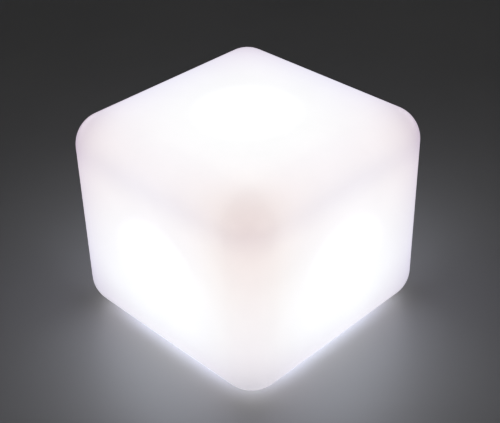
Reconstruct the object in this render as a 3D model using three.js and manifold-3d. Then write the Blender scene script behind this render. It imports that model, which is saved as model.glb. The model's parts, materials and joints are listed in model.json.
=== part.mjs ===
// Floating pool light: a squat, round-edged cube of translucent polyethylene that unscrews
// from a waterproof light engine.
// Millimetres, +Z up. The origin is the middle of the footprint, on the plane the feet stand on.
import * as THREE from "three";
import { mergeVertices } from "three/addons/utils/BufferGeometryUtils.js";
import { RoundedBoxGeometry } from "three/addons/geometries/RoundedBoxGeometry.js";
import Module from "manifold-3d";

const wasm = await Module();
wasm.setup();

// ---------- driving dimensions ----------
// Names ending in _R are radii. Names ending in _Z, _TOP or _FLOOR are heights.
// Names ending in _CUT are [bottom, top] spans that pass right through a plate.
const WIDTH = 100; // outside width and depth of the shell
const HEIGHT = 88; // feet to top face
const EDGE_R = 13; // outside radius of every edge of the shell
const WALL = 2.6;
const SHELL_Z = 0.8;
const SHELL_HOLE_R = 28;
const SHELL_PAD_R = 38;
const SHELL_PAD_TOP = 9.4;
const SEAT_R = 34.9; // recess in the shell for the neck flange
const SEAT_TOP = 3.8;

const THREAD_LEAD = 12; // rise for each turn
const THREAD_STARTS = 3;
const THREAD_Z = 6.2; // middle of each rib where it begins
const THREAD_ARC = 186; // degrees each rib covers
const THREAD_STEPS = 10;
const THREAD_ROOT_W = 2.8;
const THREAD_CREST_W = 1;
const THREAD_SINK = 0.9; // how far a rib is buried in its wall
const THREAD_FADE = { start: 0.12, arc: 22 }; // share of height at the ends; degrees per full height
const MALE_CREST_R = 24.4;
const FEMALE_ROOT_R = 24.8;
const FEMALE_CREST_R = 23.3;

const NECK_FLANGE_R = 34.6;
const NECK_BARREL_R = 27.6;
const NECK_MOUTH_R = 26.3; // takes the engine's bottom flange
const NECK_Z = 1.2;
const NECK_FLANGE_TOP = 3;
const NECK_MOUTH_TOP = 4.4;
const NECK_TOP = 14.2;
const NECK_GASKET_R = 28.2; // inside radius

const CUP_R = 22.6;
const CUP_BORE_R = 21;
const CUP_FLANGE_R = 25.9;
const CUP_COLLAR_R = 24.3; // step above the flange
const CUP_Z = 1;
const CUP_FLOOR = 8; // inside floor
const CUP_RIM = 35.4;
const POCKET_R = 20;
const POCKET_TOP = 6.2;
const POCKET_ARC_STEPS = 18;
const GRIP_HALF = 3.6; // half the width of the finger bar
const PILLAR_R = 2.8; // each pillar runs into the cup's wall
const PILLAR_CLEAR_R = PILLAR_R + 0.25;
const PILLAR_BORE_R = 1.1;
const FOOT_R = 2.1;

const BUTTON_X = -10.5;
const JACK_X = 10.5;

const PLATE_R = 20.4; // control board and battery tray
const BOARD_Z = 12.05;
const BOARD_TOP = BOARD_Z + 1.2;
const BOARD_CUT = [10, 15];
const PART_GAP = 0.03; // between a board and the parts on it
const TRAY_Z = 16.4;
const TRAY_TOP = TRAY_Z + 1.2;
const TRAY_CUT = [10, 20];
const BOSS_HOLE_R = 1.25; // in the board and the tray
const CELL_R = 8.25;
const CELL_L = 34;
const CELL_Z = 26.2; // axis of the cell
const HARNESS_Y = -13.6;

const DECK_Z = CUP_RIM + 0.05;
const DECK_TOP = 37.2;
const SPIGOT_Z = 33.4; // lower end of the deck's spigot and bosses
const DECK_CUT = [30, 42];
const LED_BOARD_R = 14.3;
const LED_BOARD_Z = DECK_TOP + 0.05;
const LED_BOARD_TOP = LED_BOARD_Z + 1;
const LED_PART_Z = LED_BOARD_TOP + PART_GAP;
const DOME_R = 16;
const DOME_Z = 37.85;
const DOME_FLANGE_R = 20.8;
const DOME_FLANGE_TOP = 39.05;
const DOME_TOP = 52;
const DOME_WALL = 1.3;

// Places are [x, y].
const DIAGONALS = [45, 135, 225, 315];
const NECK_SCREW_PLACES = DIAGONALS.map((angle) => polar(31, angle));
const FOOT_PLACES = DIAGONALS.map((angle) => polar(23.2, angle));
const PILLAR_PLACES = [[0, -18.4], [0, 18.4]];
const BOSS_PLACES = [[-11, -13], [11, -13], [-11, 13], [11, 13]];
const BOARD_SCREW_PLACES = [30, 210].map((angle) => polar(12.2, angle));
const LED_PLACES = [0, 60, 120, 180, 240, 300].map((angle) => polar(8.5, angle));

// ---------- helpers ----------
// A closed three.js geometry as a solid, with its faces turned outwards.
function solid(geometry) {
  const bare = geometry.index ? geometry.toNonIndexed() : geometry.clone();
  for (const name of Object.keys(bare.attributes)) {
    if (name !== "position") bare.deleteAttribute(name);
  }
  const merged = mergeVertices(bare, 1e-4);
  const corners = merged.index.array;
  const triangles = [];
  for (let i = 0; i < merged.index.count; i += 3) {
    const [a, b, c] = [corners[i], corners[i + 1], corners[i + 2]];
    if (a !== b && b !== c && a !== c) triangles.push([a, b, c]);
  }
  const build = (faces) =>
    new wasm.Manifold(
      new wasm.Mesh({
        numProp: 3,
        vertProperties: merged.attributes.position.array,
        triVerts: new Uint32Array(faces.flat()),
      }),
    );
  const made = build(triangles);
  return made.volume() < 0 ? build(triangles.map(([a, b, c]) => [a, c, b])) : made;
}

function geometryOf(made) {
  const mesh = made.getMesh();
  const geometry = new THREE.BufferGeometry();
  const positions = new Float32Array(mesh.vertProperties);
  geometry.setAttribute("position", new THREE.BufferAttribute(positions, 3));
  geometry.setIndex(new THREE.BufferAttribute(new Uint32Array(mesh.triVerts), 1));
  geometry.computeVertexNormals();
  return geometry;
}

function polar(radius, degrees) {
  const angle = (degrees * Math.PI) / 180;
  return [radius * Math.cos(angle), radius * Math.sin(angle)];
}

const sum = (first, ...rest) => rest.reduce((made, other) => made.add(other), first);
const cut = (first, ...rest) => rest.reduce((made, other) => made.subtract(other), first);
const vectors = (points) => points.map(([x, y]) => new THREE.Vector2(x, y));

// Profile points are [radius, z]; the solid turns about an upright axis at [x, y].
function turned(profile, segments, [x, y] = [0, 0]) {
  const geometry = new THREE.LatheGeometry(vectors([...profile, profile[0]]), segments);
  geometry.rotateX(Math.PI / 2);
  geometry.translate(x, y, 0);
  return solid(geometry);
}

const rod = (radius, [z0, z1], segments, at) =>
  turned([[0, z0], [radius, z0], [radius, z1], [0, z1]], segments, at);

const rods = (places, radius, zSpan, segments) =>
  places.map((at) => rod(radius, zSpan, segments, at));

function block([x0, x1], [y0, y1], [z0, z1]) {
  const geometry = new THREE.BoxGeometry(x1 - x0, y1 - y0, z1 - z0);
  geometry.translate((x0 + x1) / 2, (y0 + y1) / 2, (z0 + z1) / 2);
  return solid(geometry);
}

const extrusion = (points, options) =>
  new THREE.ExtrudeGeometry(new THREE.Shape(vectors(points)), { bevelEnabled: false, ...options });

// A block with chamfered upright edges, turned (in radians) about its own middle.
function chipBlock([width, depth], [z0, z1], [x, y], { chamfer = 0.25, turn = 0 } = {}) {
  const [a, b, c] = [width / 2, depth / 2, chamfer];
  const outline = [
    [-a + c, -b], [a - c, -b], [a, -b + c], [a, b - c],
    [a - c, b], [-a + c, b], [-a, b - c], [-a, -b + c],
  ];
  const geometry = extrusion(outline, { depth: z1 - z0 });
  geometry.rotateZ(turn);
  geometry.translate(x, y, z0);
  return solid(geometry);
}

function ovalPoints([x, y], [radiusX, radiusY], count = 8) {
  return Array.from({ length: count }, (_, i) => {
    const angle = (i / count) * Math.PI * 2;
    return [x + radiusX * Math.cos(angle), y + radiusY * Math.sin(angle)];
  });
}

// A round wire along a smooth curve.
function wire(points, radius, sides) {
  const stations = points.map((point) => new THREE.Vector3(...point));
  const extrudePath = new THREE.CatmullRomCurve3(stations, false, "centripetal");
  return solid(extrusion(ovalPoints([0, 0], [radius, radius], sides), { steps: 16, extrudePath }));
}

// One thread rib: a trapezoid swept up a right-handed helix, fading out at both ends.
function threadRib(rootR, crestR, startDegrees) {
  const inset = rootR - Math.sign(crestR - rootR) * THREAD_SINK;
  const rings = [];
  for (let i = 0; i <= THREAD_STEPS; i++) {
    const along = (i / THREAD_STEPS) * THREAD_ARC;
    const toEnd = Math.min(along, THREAD_ARC - along);
    const fade = Math.min(1, THREAD_FADE.start + toEnd / THREAD_FADE.arc);
    const crest = rootR + (crestR - rootR) * fade;
    const z = THREAD_Z + (THREAD_LEAD * along) / 360;
    const section = [
      [inset, -THREAD_ROOT_W / 2], [crest, -THREAD_CREST_W / 2],
      [crest, THREAD_CREST_W / 2], [inset, THREAD_ROOT_W / 2],
    ];
    rings.push(section.map(([radius, dz]) => [...polar(radius, startDegrees + along), z + dz]));
  }
  const corners = [];
  for (let i = 0; i < THREAD_STEPS; i++) {
    for (let k = 0; k < 4; k++) {
      const next = (k + 1) % 4;
      const [a, b] = [rings[i][k], rings[i][next]];
      const [c, d] = [rings[i + 1][k], rings[i + 1][next]];
      corners.push(a, b, d, a, d, c);
    }
  }
  const [first, last] = [rings[0], rings.at(-1)];
  for (let k = 1; k < 3; k++) {
    corners.push(first[0], first[k + 1], first[k], last[0], last[k], last[k + 1]);
  }
  const geometry = new THREE.BufferGeometry();
  geometry.setAttribute("position", new THREE.Float32BufferAttribute(corners.flat(), 3));
  return solid(geometry);
}

const threadRibs = (rootR, crestR, startDegrees) =>
  Array.from({ length: THREAD_STARTS }, (_, k) =>
    threadRib(rootR, crestR, startDegrees + (360 / THREAD_STARTS) * k),
  );

// ---------- materials ----------
const mat = (options) => new THREE.MeshStandardMaterial(options);
const lit = (emissiveIntensity) => ({ emissive: 0xffffff, emissiveIntensity }); // white glow
const MAT = {
  shell: mat({ color: 0xf7f4f6, roughness: 0.42, ...lit(0.8) }),
  abs: mat({ color: 0xeeeeec, roughness: 0.45 }),
  silicone: mat({ color: 0xc9cdd0, roughness: 0.7 }),
  rubber: mat({ color: 0x2b2d30, roughness: 0.8 }),
  steel: mat({ color: 0xb9bcc0, roughness: 0.3, metalness: 1 }),
  brass: mat({ color: 0xc8a24a, roughness: 0.35, metalness: 1 }),
  board: mat({ color: 0x1f6b3c, roughness: 0.5 }),
  boardWhite: mat({ color: 0xf4f4f0, roughness: 0.45 }),
  chip: mat({ color: 0x1b1c1e, roughness: 0.55 }),
  cell: mat({ color: 0x2f6fb5, roughness: 0.4 }),
  foam: mat({ color: 0x3a3c40, roughness: 0.95 }),
  red: mat({ color: 0xb3231f, roughness: 0.5 }),
  black: mat({ color: 0x18191b, roughness: 0.5 }),
  ribbon: mat({ color: 0xd8d8d4, roughness: 0.6 }),
  dome: mat({ color: 0xf2f5f7, roughness: 0.3, ...lit(1) }),
  led: mat({ color: 0xf6e9a8, roughness: 0.35 }),
};

// ---------- cross-slotted screws ----------
// profile: [radius, z]. slot: half its length, half its width, and its z span.
const NECK_SCREW = {
  profile: [[0, 1.25], [2.42, 1.25], [1.16, 2.62], [1.16, 7.8], [0, 8.2]],
  segments: 12,
  slot: { reach: 1.3, half: 0.27, zSpan: [0, 1.85] },
};
const TRAY_SCREW = {
  profile: [
    [0, 8.8], [1, 9.4], [1, TRAY_TOP + 0.05], [1.9, TRAY_TOP + 0.05],
    [1.9, 18.5], [1.5, 18.9], [0, 18.9],
  ],
  slot: { reach: 1.1, half: 0.24, zSpan: [18.3, 20] },
};
const BOARD_SCREW = {
  profile: [
    [0, 34.2], [0.75, 34.7], [0.75, LED_BOARD_TOP + 0.05], [1.5, LED_BOARD_TOP + 0.05],
    [1.5, LED_BOARD_TOP + 0.7], [1.15, LED_BOARD_TOP + 1.1], [0, LED_BOARD_TOP + 1.1],
  ],
  slot: { reach: 0.9, half: 0.2, zSpan: [LED_BOARD_TOP + 0.6, 42] },
};
const DECK_SCREW = {
  profile: [
    [0, 25.5], [1, 26.2], [1, DOME_FLANGE_TOP + 0.05], [1.85, DOME_FLANGE_TOP + 0.05],
    [1.85, DOME_FLANGE_TOP + 0.9], [1.45, DOME_FLANGE_TOP + 1.3], [0, DOME_FLANGE_TOP + 1.3],
  ],
  slot: { reach: 1.1, half: 0.24, zSpan: [DOME_FLANGE_TOP + 0.7, 43] },
};

const screwMaker = ({ profile, segments = 10, slot: { reach, half, zSpan } }) => (at) => {
  const [x, y] = at;
  return cut(
    turned(profile, segments, at),
    block([x - reach, x + reach], [y - half, y + half], zSpan),
    block([x - half, x + half], [y - reach, y + reach], zSpan),
  );
};

// ---------- shell: one hollow rotational moulding ----------
function roundedCube(inset, segments) {
  const width = WIDTH - 2 * inset;
  const height = HEIGHT - SHELL_Z - 2 * inset;
  const geometry = new RoundedBoxGeometry(width, width, height, segments, EDGE_R - inset);
  geometry.translate(0, 0, (HEIGHT + SHELL_Z) / 2);
  return solid(geometry);
}

function shell() {
  // the moulding is thickened round its opening, to hold the four inserts
  const padZ = SHELL_Z + WALL / 2;
  const pad = turned(
    [
      [0, padZ], [SHELL_PAD_R, padZ], [SHELL_PAD_R, SHELL_PAD_TOP - 1.2],
      [SHELL_PAD_R - 1.2, SHELL_PAD_TOP], [0, SHELL_PAD_TOP],
    ],
    40,
  );
  return cut(
    sum(cut(roundedCube(0, 3), roundedCube(WALL, 2)), pad),
    rod(SEAT_R, [-1, SEAT_TOP], 40),
    rod(SHELL_HOLE_R, [-1, 20], 40),
    ...rods(NECK_SCREW_PLACES, 2.15, [SEAT_TOP - 0.5, 8.8], 16),
  );
}

// ---------- threaded neck ring, its gasket and the moulded-in inserts ----------
const NECK_PROFILE = [
  [NECK_MOUTH_R + 0.3, NECK_Z], [NECK_FLANGE_R - 0.3, NECK_Z], [NECK_FLANGE_R, NECK_Z + 0.3],
  [NECK_FLANGE_R, NECK_FLANGE_TOP], [NECK_BARREL_R, NECK_FLANGE_TOP],
  [NECK_BARREL_R, NECK_TOP - 0.4], [NECK_BARREL_R - 0.4, NECK_TOP], [FEMALE_ROOT_R, NECK_TOP],
  [FEMALE_ROOT_R, NECK_MOUTH_TOP], [NECK_MOUTH_R, NECK_MOUTH_TOP], [NECK_MOUTH_R, NECK_Z + 0.3],
];
const COUNTERSINK_PROFILE = [
  [0, NECK_Z - 0.5], [2.75, NECK_Z - 0.5], [2.75, NECK_Z], [1.45, 2.5], [1.45, 4], [0, 4],
];
const INSERT_PROFILE = [
  [1.32, 3.9], [1.9, 3.9], [2.06, 4.1], [2.06, 5.5], [1.85, 5.7],
  [1.85, 6.3], [2.06, 6.5], [2.06, 8.1], [1.9, 8.4], [1.32, 8.4],
];

function neckRing() {
  return cut(
    sum(turned(NECK_PROFILE, 40), ...threadRibs(FEMALE_ROOT_R, FEMALE_CREST_R, 60)),
    ...NECK_SCREW_PLACES.map((at) => turned(COUNTERSINK_PROFILE, 20, at)),
  );
}

// A flat ring between two radii.
const washer = (innerR, outerR, [z0, z1], segments) =>
  turned([[innerR, z0], [outerR, z0], [outerR, z1], [innerR, z1]], segments);

function neckGasket() {
  const zSpan = [NECK_FLANGE_TOP + 0.06, SEAT_TOP - 0.06];
  return cut(
    washer(NECK_GASKET_R, NECK_FLANGE_R, zSpan, 40),
    ...rods(NECK_SCREW_PLACES, 1.7, [2, 5], 16),
  );
}

// ---------- engine cup: screws up into the neck ring ----------
const CUP_PROFILE = [
  [0, CUP_Z], [CUP_FLANGE_R - 0.5, CUP_Z], [CUP_FLANGE_R, CUP_Z + 0.5], [CUP_FLANGE_R, 2.8],
  [CUP_COLLAR_R, 2.8], [CUP_COLLAR_R, 4.2], [CUP_R, 4.2], [CUP_R, CUP_RIM],
  [CUP_BORE_R, CUP_RIM], [CUP_BORE_R, CUP_FLOOR], [0, CUP_FLOOR],
];
const FOOT_PROFILE = [[0, 0], [FOOT_R - 0.25, 0], [FOOT_R, 0.25], [FOOT_R, 1.37], [0, 1.37]];

// A finger pocket, from the grip bar out to POCKET_R; side is the sign of x it lies on.
function fingerPocket(side) {
  const halfArc = Math.acos(GRIP_HALF / POCKET_R);
  const outline = Array.from({ length: POCKET_ARC_STEPS + 1 }, (_, i) => {
    const angle = -halfArc + (2 * halfArc * i) / POCKET_ARC_STEPS;
    return [POCKET_R * Math.cos(angle), POCKET_R * Math.sin(angle)];
  });
  const geometry = extrusion(outline, { depth: POCKET_TOP });
  if (side < 0) geometry.rotateZ(Math.PI);
  return solid(geometry);
}

function engineCup() {
  // two pockets leave a bar to turn the engine by
  const body = cut(turned(CUP_PROFILE, 40), fingerPocket(-1), fingerPocket(1));
  const posted = sum(
    body,
    ...rods(PILLAR_PLACES, PILLAR_R, [CUP_FLOOR - 0.5, CUP_RIM], 20),
    ...rods(BOSS_PLACES, 2.2, [CUP_FLOOR - 0.5, 12], 16),
  );
  const bored = cut(
    posted,
    ...rods(PILLAR_PLACES, PILLAR_BORE_R, [24, CUP_RIM + 1], 14),
    ...rods(BOSS_PLACES, 1.1, [CUP_FLOOR + 0.4, 13], 14),
    // openings for the button and the charging jack
    rod(4.6, [0, 9], 24, [BUTTON_X, 0]),
    rod(3.7, [0, 9], 24, [JACK_X, 0]),
    ...rods(FOOT_PLACES, FOOT_R + 0.15, [0, 1.4], 20),
  );
  return sum(bored, ...threadRibs(CUP_R, MALE_CREST_R, 0));
}

const foot = (at) => turned(FOOT_PROFILE, 16, at);

// Face seal between the engine and the neck ring, drawn as it sits when tightened.
const sealRing = () => turned(ovalPoints([25.15, 3.6], [0.7, 0.7]), 40);

// ---------- power button, its seal and the switch above it ----------
const BUTTON_AT = [BUTTON_X, 0];
const BUTTON_PROFILE = [
  [0, 4.7], [3.7, 4.7], [4.3, 5.3], [4.3, 6.75], [3.65, 6.75], [3.65, 7.65], [4.3, 7.65],
  [4.3, 8.1], [5.5, 8.1], [5.5, 8.8], [1.3, 8.8], [1.3, 9.22], [0, 9.22],
];
const PLUNGER_PROFILE = [[0, 9.28], [1.5, 9.28], [1.75, 9.5], [1.75, 11.15], [0, 11.15]];

function powerButton() {
  // a shallow ring moulded into its face, to find it by touch
  const groove = turned([[1.5, 4], [2.2, 4], [2.2, 5], [1.5, 5]], 24, BUTTON_AT);
  return cut(turned(BUTTON_PROFILE, 24, BUTTON_AT), groove);
}

const buttonSeal = () => turned(ovalPoints([4.1, 7.2], [0.38, 0.36]), 24, BUTTON_AT);

const switchBody = () =>
  cut(
    chipBlock([6, 6], [9.9, 12], BUTTON_AT, { chamfer: 0.4 }),
    rod(1.95, [9, 11.75], 16, BUTTON_AT),
  );

// ---------- charging jack, its centre pin and its bung ----------
const JACK_AT = [JACK_X, 0];
const PIN_PROFILE = [[0, 7.2], [0.35, 7.2], [0.65, 7.5], [0.65, 11.95], [0, 11.95]];
const PLUG_PROFILE = [
  [0, 4.7], [4.1, 4.7], [4.6, 5.1], [4.6, 6.14], [1.78, 6.14], [1.78, 7], [1.86, 7.2],
  [1.78, 7.4], [1.78, 9.6], [1.5, 9.9], [0.85, 9.9], [0.85, 6.4], [0, 6.4],
];

function chargeJack() {
  const barrel = rod(3.35, [6.35, 9], 24, JACK_AT);
  const body = chipBlock([8.4, 8.4], [8.4, 12], JACK_AT, { chamfer: 0.5 });
  return cut(
    sum(barrel, body),
    rod(1.95, [5, 11], 18, JACK_AT),
    rod(0.72, [10, 12.5], 12, JACK_AT),
  );
}

function portPlug() {
  // a finger tab with a hole through it along Y
  const tab = block([JACK_X - 3, JACK_X + 3], [-0.8, 0.8], [1.9, 4.9]);
  const hole = rod(0.8, [-2, 2], 12).rotate([90, 0, 0]).translate([JACK_X, 0, 3.3]);
  return cut(sum(turned(PLUG_PROFILE, 24, JACK_AT), tab), hole);
}

// ---------- control board and what it carries ----------
const controlBoard = () =>
  cut(
    rod(PLATE_R, [BOARD_Z, BOARD_TOP], 36),
    ...rods(PILLAR_PLACES, PILLAR_CLEAR_R, BOARD_CUT, 20),
    ...rods(BOSS_PLACES, BOSS_HOLE_R, BOARD_CUT, 14),
  );

const boardPart = (size, top, at, options) =>
  chipBlock(size, [BOARD_TOP + PART_GAP, top], at, options);

// ---------- battery tray with its saddles and legs, the cell and its leads ----------
const CELL_HALF = CELL_L / 2;
// [radius, distance along the cell]; the raised cap is the positive end.
const CELL_PROFILE = [
  [0, -CELL_HALF], [CELL_R - 0.8, -CELL_HALF], [CELL_R, -CELL_HALF + 0.8],
  [CELL_R, CELL_HALF - 1.8], [CELL_R - 0.7, CELL_HALF - 1.1], [CELL_R - 1.4, CELL_HALF - 0.9],
  [3.2, CELL_HALF - 0.9], [3, CELL_HALF], [0, CELL_HALF],
];
// [x, z] from the cell's end down to the control board, for the +X side.
const LEAD_PATH = [
  [17.35, CELL_Z], [18.5, CELL_Z - 0.2], [19.2, CELL_Z - 2.2], [19.25, 20],
  [19.2, 15.6], [18.6, 14.3], [16.2, BOARD_TOP + 0.75],
];

// Turns an upright solid to lie along X on the cell's axis, its top towards +X.
const layOnCellAxis = (made) => made.rotate([0, 90, 0]).translate([0, 0, CELL_Z]);

function batteryTray() {
  const saddles = [-12, 12].map((x) => block([x - 1, x + 1], [-8.4, 8.4], [TRAY_Z + 1, 22.6]));
  const trough = layOnCellAxis(rod(CELL_R + 0.2, [-30, 30], 28));
  const cradle = cut(sum(rod(PLATE_R, [TRAY_Z, TRAY_TOP], 36), ...saddles), trough);
  return cut(
    sum(cradle, ...rods(BOSS_PLACES, 2.1, [BOARD_TOP + 0.05, TRAY_Z + 0.5], 16)),
    ...rods(BOSS_PLACES, BOSS_HOLE_R, TRAY_CUT, 14),
    ...rods(PILLAR_PLACES, PILLAR_CLEAR_R, TRAY_CUT, 20),
    // a notch in the rim for each lead, and a slot for the harness
    ...rods([[19.2, 0], [-19.2, 0]], 1.5, TRAY_CUT, 14),
    block([18.9, 25], [-1.5, 1.5], TRAY_CUT),
    block([-25, -18.9], [-1.5, 1.5], TRAY_CUT),
    block([-3.2, 3.2], [-14.7, -12.5], TRAY_CUT),
  );
}

const batteryCell = () => layOnCellAxis(turned(CELL_PROFILE, 32));
const lead = (side) => wire(LEAD_PATH.map(([x, z]) => [side * x, 0, z]), 0.6, 8);

// ---------- deck that closes the cup and carries the LEDs ----------
const DECK_PROFILE = [
  [0, DECK_Z], [19.6, DECK_Z], [19.6, SPIGOT_Z], [20.7, SPIGOT_Z], [20.7, DECK_Z],
  [CUP_R - 0.2, DECK_Z], [CUP_R, CUP_RIM + 0.3], [CUP_R, DECK_TOP - 0.4],
  [CUP_R - 0.4, DECK_TOP], [0, DECK_TOP],
];

function ledDeck() {
  return cut(
    sum(
      turned(DECK_PROFILE, 36),
      ...rods(BOARD_SCREW_PLACES, 1.9, [SPIGOT_Z, CUP_RIM + 0.6], 16),
    ),
    // the rim of the spigot is notched for the pillars
    ...rods(PILLAR_PLACES, PILLAR_CLEAR_R, [30, DECK_Z], 20),
    ...rods(PILLAR_PLACES, 1.3, DECK_CUT, 14),
    ...rods(BOARD_SCREW_PLACES, 0.85, [33.8, 40], 12),
    block([-2.9, 2.9], [-14.5, -12.7], DECK_CUT),
  );
}

const ledBoard = () =>
  cut(
    rod(LED_BOARD_R, [LED_BOARD_Z, LED_BOARD_TOP], 32),
    block([-2.9, 2.9], [-16, -12.7], DECK_CUT),
    ...rods(BOARD_SCREW_PLACES, 1, DECK_CUT, 12),
  );

function led(at, k) {
  const size = [5, 5];
  const zSpan = [LED_PART_Z, LED_BOARD_TOP + 1.6];
  const body = chipBlock(size, zSpan, at, { chamfer: 0.5, turn: (Math.PI / 3) * k });
  const [dishZ, dishTop] = [LED_BOARD_TOP + 1.2, LED_BOARD_TOP + 2];
  return cut(body, turned([[0, dishZ], [1.7, dishZ], [2, dishTop], [0, dishTop]], 20, at));
}

const ledSocket = () => chipBlock([5, 2.1], [LED_PART_Z, LED_BOARD_TOP + 2.3], [0, -11.1]);

// The infra-red receiver: a moulded block with a round lens on its -Y face.
function irReceiver() {
  const zSpan = [LED_PART_Z, LED_BOARD_TOP + 5.2];
  const body = chipBlock([5, 3.2], zSpan, [0, 0.8], { chamfer: 0.4 });
  // [radius, height above the LED board]
  const lens = [[0, 1.4], [1.6, 1.4], [1.9, 3], [1.6, 4.4], [0.8, 5.1], [0, 5.1]];
  return sum(body, turned(lens.map(([r, z]) => [r, LED_BOARD_TOP + z]), 16, [0, -0.7]));
}

// Four-core harness from the control board up to the LEDs; path points are [y, z].
function ledHarness() {
  const path = [
    [HARNESS_Y, 15.66], [HARNESS_Y, 24], [HARNESS_Y, 34], [HARNESS_Y, LED_BOARD_TOP],
    [-13.5, LED_BOARD_TOP + 0.9], [-13.1, LED_BOARD_TOP + 1.35], [-12.25, LED_BOARD_TOP + 1.4],
  ];
  const pitch = 0.98;
  const cores = [-1.5, -0.5, 0.5, 1.5].map((place) =>
    wire(path.map(([y, z]) => [place * pitch, y, z]), 0.62, 6),
  );
  return sum(...cores);
}

// ---------- frosted dome and its gasket ----------
// Points [radius, z] along an elliptical arc that springs from the top of the dome's flange.
const domeArc = (radius, rise, from, to, steps) =>
  Array.from({ length: steps + 1 }, (_, i) => {
    const angle = from + ((to - from) * i) / steps;
    return [Math.max(0, radius * Math.cos(angle)), DOME_FLANGE_TOP + rise * Math.sin(angle)];
  });

function diffuserDome() {
  const rise = DOME_TOP - DOME_FLANGE_TOP;
  const innerR = DOME_R - DOME_WALL;
  const [low, apex] = [0.15, Math.PI / 2]; // radians
  const profile = [
    [innerR, DOME_Z], [DOME_FLANGE_R, DOME_Z],
    [DOME_FLANGE_R, DOME_FLANGE_TOP], [DOME_R, DOME_FLANGE_TOP],
    ...domeArc(DOME_R, rise, low, apex, 6),
    ...domeArc(innerR, rise - DOME_WALL, apex, low, 5),
  ];
  return cut(turned(profile, 32), ...rods(PILLAR_PLACES, 1.3, DECK_CUT, 14));
}

const domeGasket = () =>
  cut(
    washer(14.9, DOME_FLANGE_R, [DECK_TOP + 0.04, DOME_Z - 0.04], 32),
    ...rods(PILLAR_PLACES, 1.4, DECK_CUT, 14),
  );

// ---------- assembly ----------
const root = new THREE.Group();
root.name = "floating_pool_light";
const shellGroup = new THREE.Group();
const engineGroup = new THREE.Group();
root.add(shellGroup, engineGroup);

function add(group, name, made, material) {
  const mesh = new THREE.Mesh(geometryOf(made), material);
  mesh.name = name;
  group.add(mesh);
}

// One numbered mesh at each place.
function addEach(group, name, places, make, material) {
  places.forEach((at, i) => add(group, `${name}_${i + 1}`, make(at, i), material));
}

add(shellGroup, "shell", shell(), MAT.shell);
const neckInsert = (at) => turned(INSERT_PROFILE, 12, at);
addEach(shellGroup, "neck_insert", NECK_SCREW_PLACES, neckInsert, MAT.brass);
addEach(shellGroup, "neck_screw", NECK_SCREW_PLACES, screwMaker(NECK_SCREW), MAT.steel);
add(shellGroup, "neck_ring", neckRing(), MAT.abs);
add(shellGroup, "neck_gasket", neckGasket(), MAT.silicone);

addEach(engineGroup, "foot", FOOT_PLACES, foot, MAT.rubber);
addEach(engineGroup, "tray_screw", BOSS_PLACES, screwMaker(TRAY_SCREW), MAT.steel);
addEach(engineGroup, "board_screw", BOARD_SCREW_PLACES, screwMaker(BOARD_SCREW), MAT.steel);
addEach(engineGroup, "led", LED_PLACES, led, MAT.led);
addEach(engineGroup, "deck_screw", PILLAR_PLACES, screwMaker(DECK_SCREW), MAT.steel);

const inductor = boardPart([5, 5], BOARD_TOP + 2.4, [6.5, -3], { chamfer: 0.9 });
const batteryPad = chipBlock([16, 7], [34.52, 35.3], [0, 0], { chamfer: 0.8 });
const ENGINE_PARTS = [
  ["seal_ring", sealRing(), MAT.silicone],
  ["engine_cup", engineCup(), MAT.abs],
  ["power_button", powerButton(), MAT.silicone],
  ["button_seal", buttonSeal(), MAT.rubber],
  ["switch_body", switchBody(), MAT.chip],
  ["switch_plunger", turned(PLUNGER_PROFILE, 16, BUTTON_AT), MAT.silicone],
  ["charge_jack", chargeJack(), MAT.chip],
  ["jack_pin", turned(PIN_PROFILE, 12, JACK_AT), MAT.brass],
  ["port_plug", portPlug(), MAT.silicone],
  ["control_board", controlBoard(), MAT.board],
  ["controller_chip", boardPart([9.9, 3.9], BOARD_TOP + 1.6, [-4, 3.5]), MAT.chip],
  ["power_inductor", inductor, MAT.foam],
  ["harness_socket", boardPart([6.2, 3.2], 15.6, [0, HARNESS_Y]), MAT.boardWhite],
  ["battery_tray", batteryTray(), MAT.abs],
  ["battery_cell", batteryCell(), MAT.cell],
  ["battery_pad", batteryPad, MAT.foam],
  ["lead_positive", lead(1), MAT.red],
  ["lead_negative", lead(-1), MAT.black],
  ["led_deck", ledDeck(), MAT.boardWhite],
  ["led_board", ledBoard(), MAT.boardWhite],
  ["led_socket", ledSocket(), MAT.boardWhite],
  ["ir_receiver", irReceiver(), MAT.chip],
  ["led_harness", ledHarness(), MAT.ribbon],
  ["dome_gasket", domeGasket(), MAT.silicone],
  ["diffuser_dome", diffuserDome(), MAT.dome],
];
for (const [name, made, material] of ENGINE_PARTS) add(engineGroup, name, made, material);

export default root;
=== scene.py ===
# Looks for the floating pool light: a rounded cube of glowing plastic, with a light engine that
# screws in through a round mouth underneath. Metres, +Z up. The engine's axis is the Z axis, with
# the button on the -X side of its base and the charging jack on the +X side.
# Mesh code works in millimetres and solid() turns them into metres; materials work in metres.
import json
import math

import bmesh
import bpy
import numpy as np
from mathutils import Matrix, Vector


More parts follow.
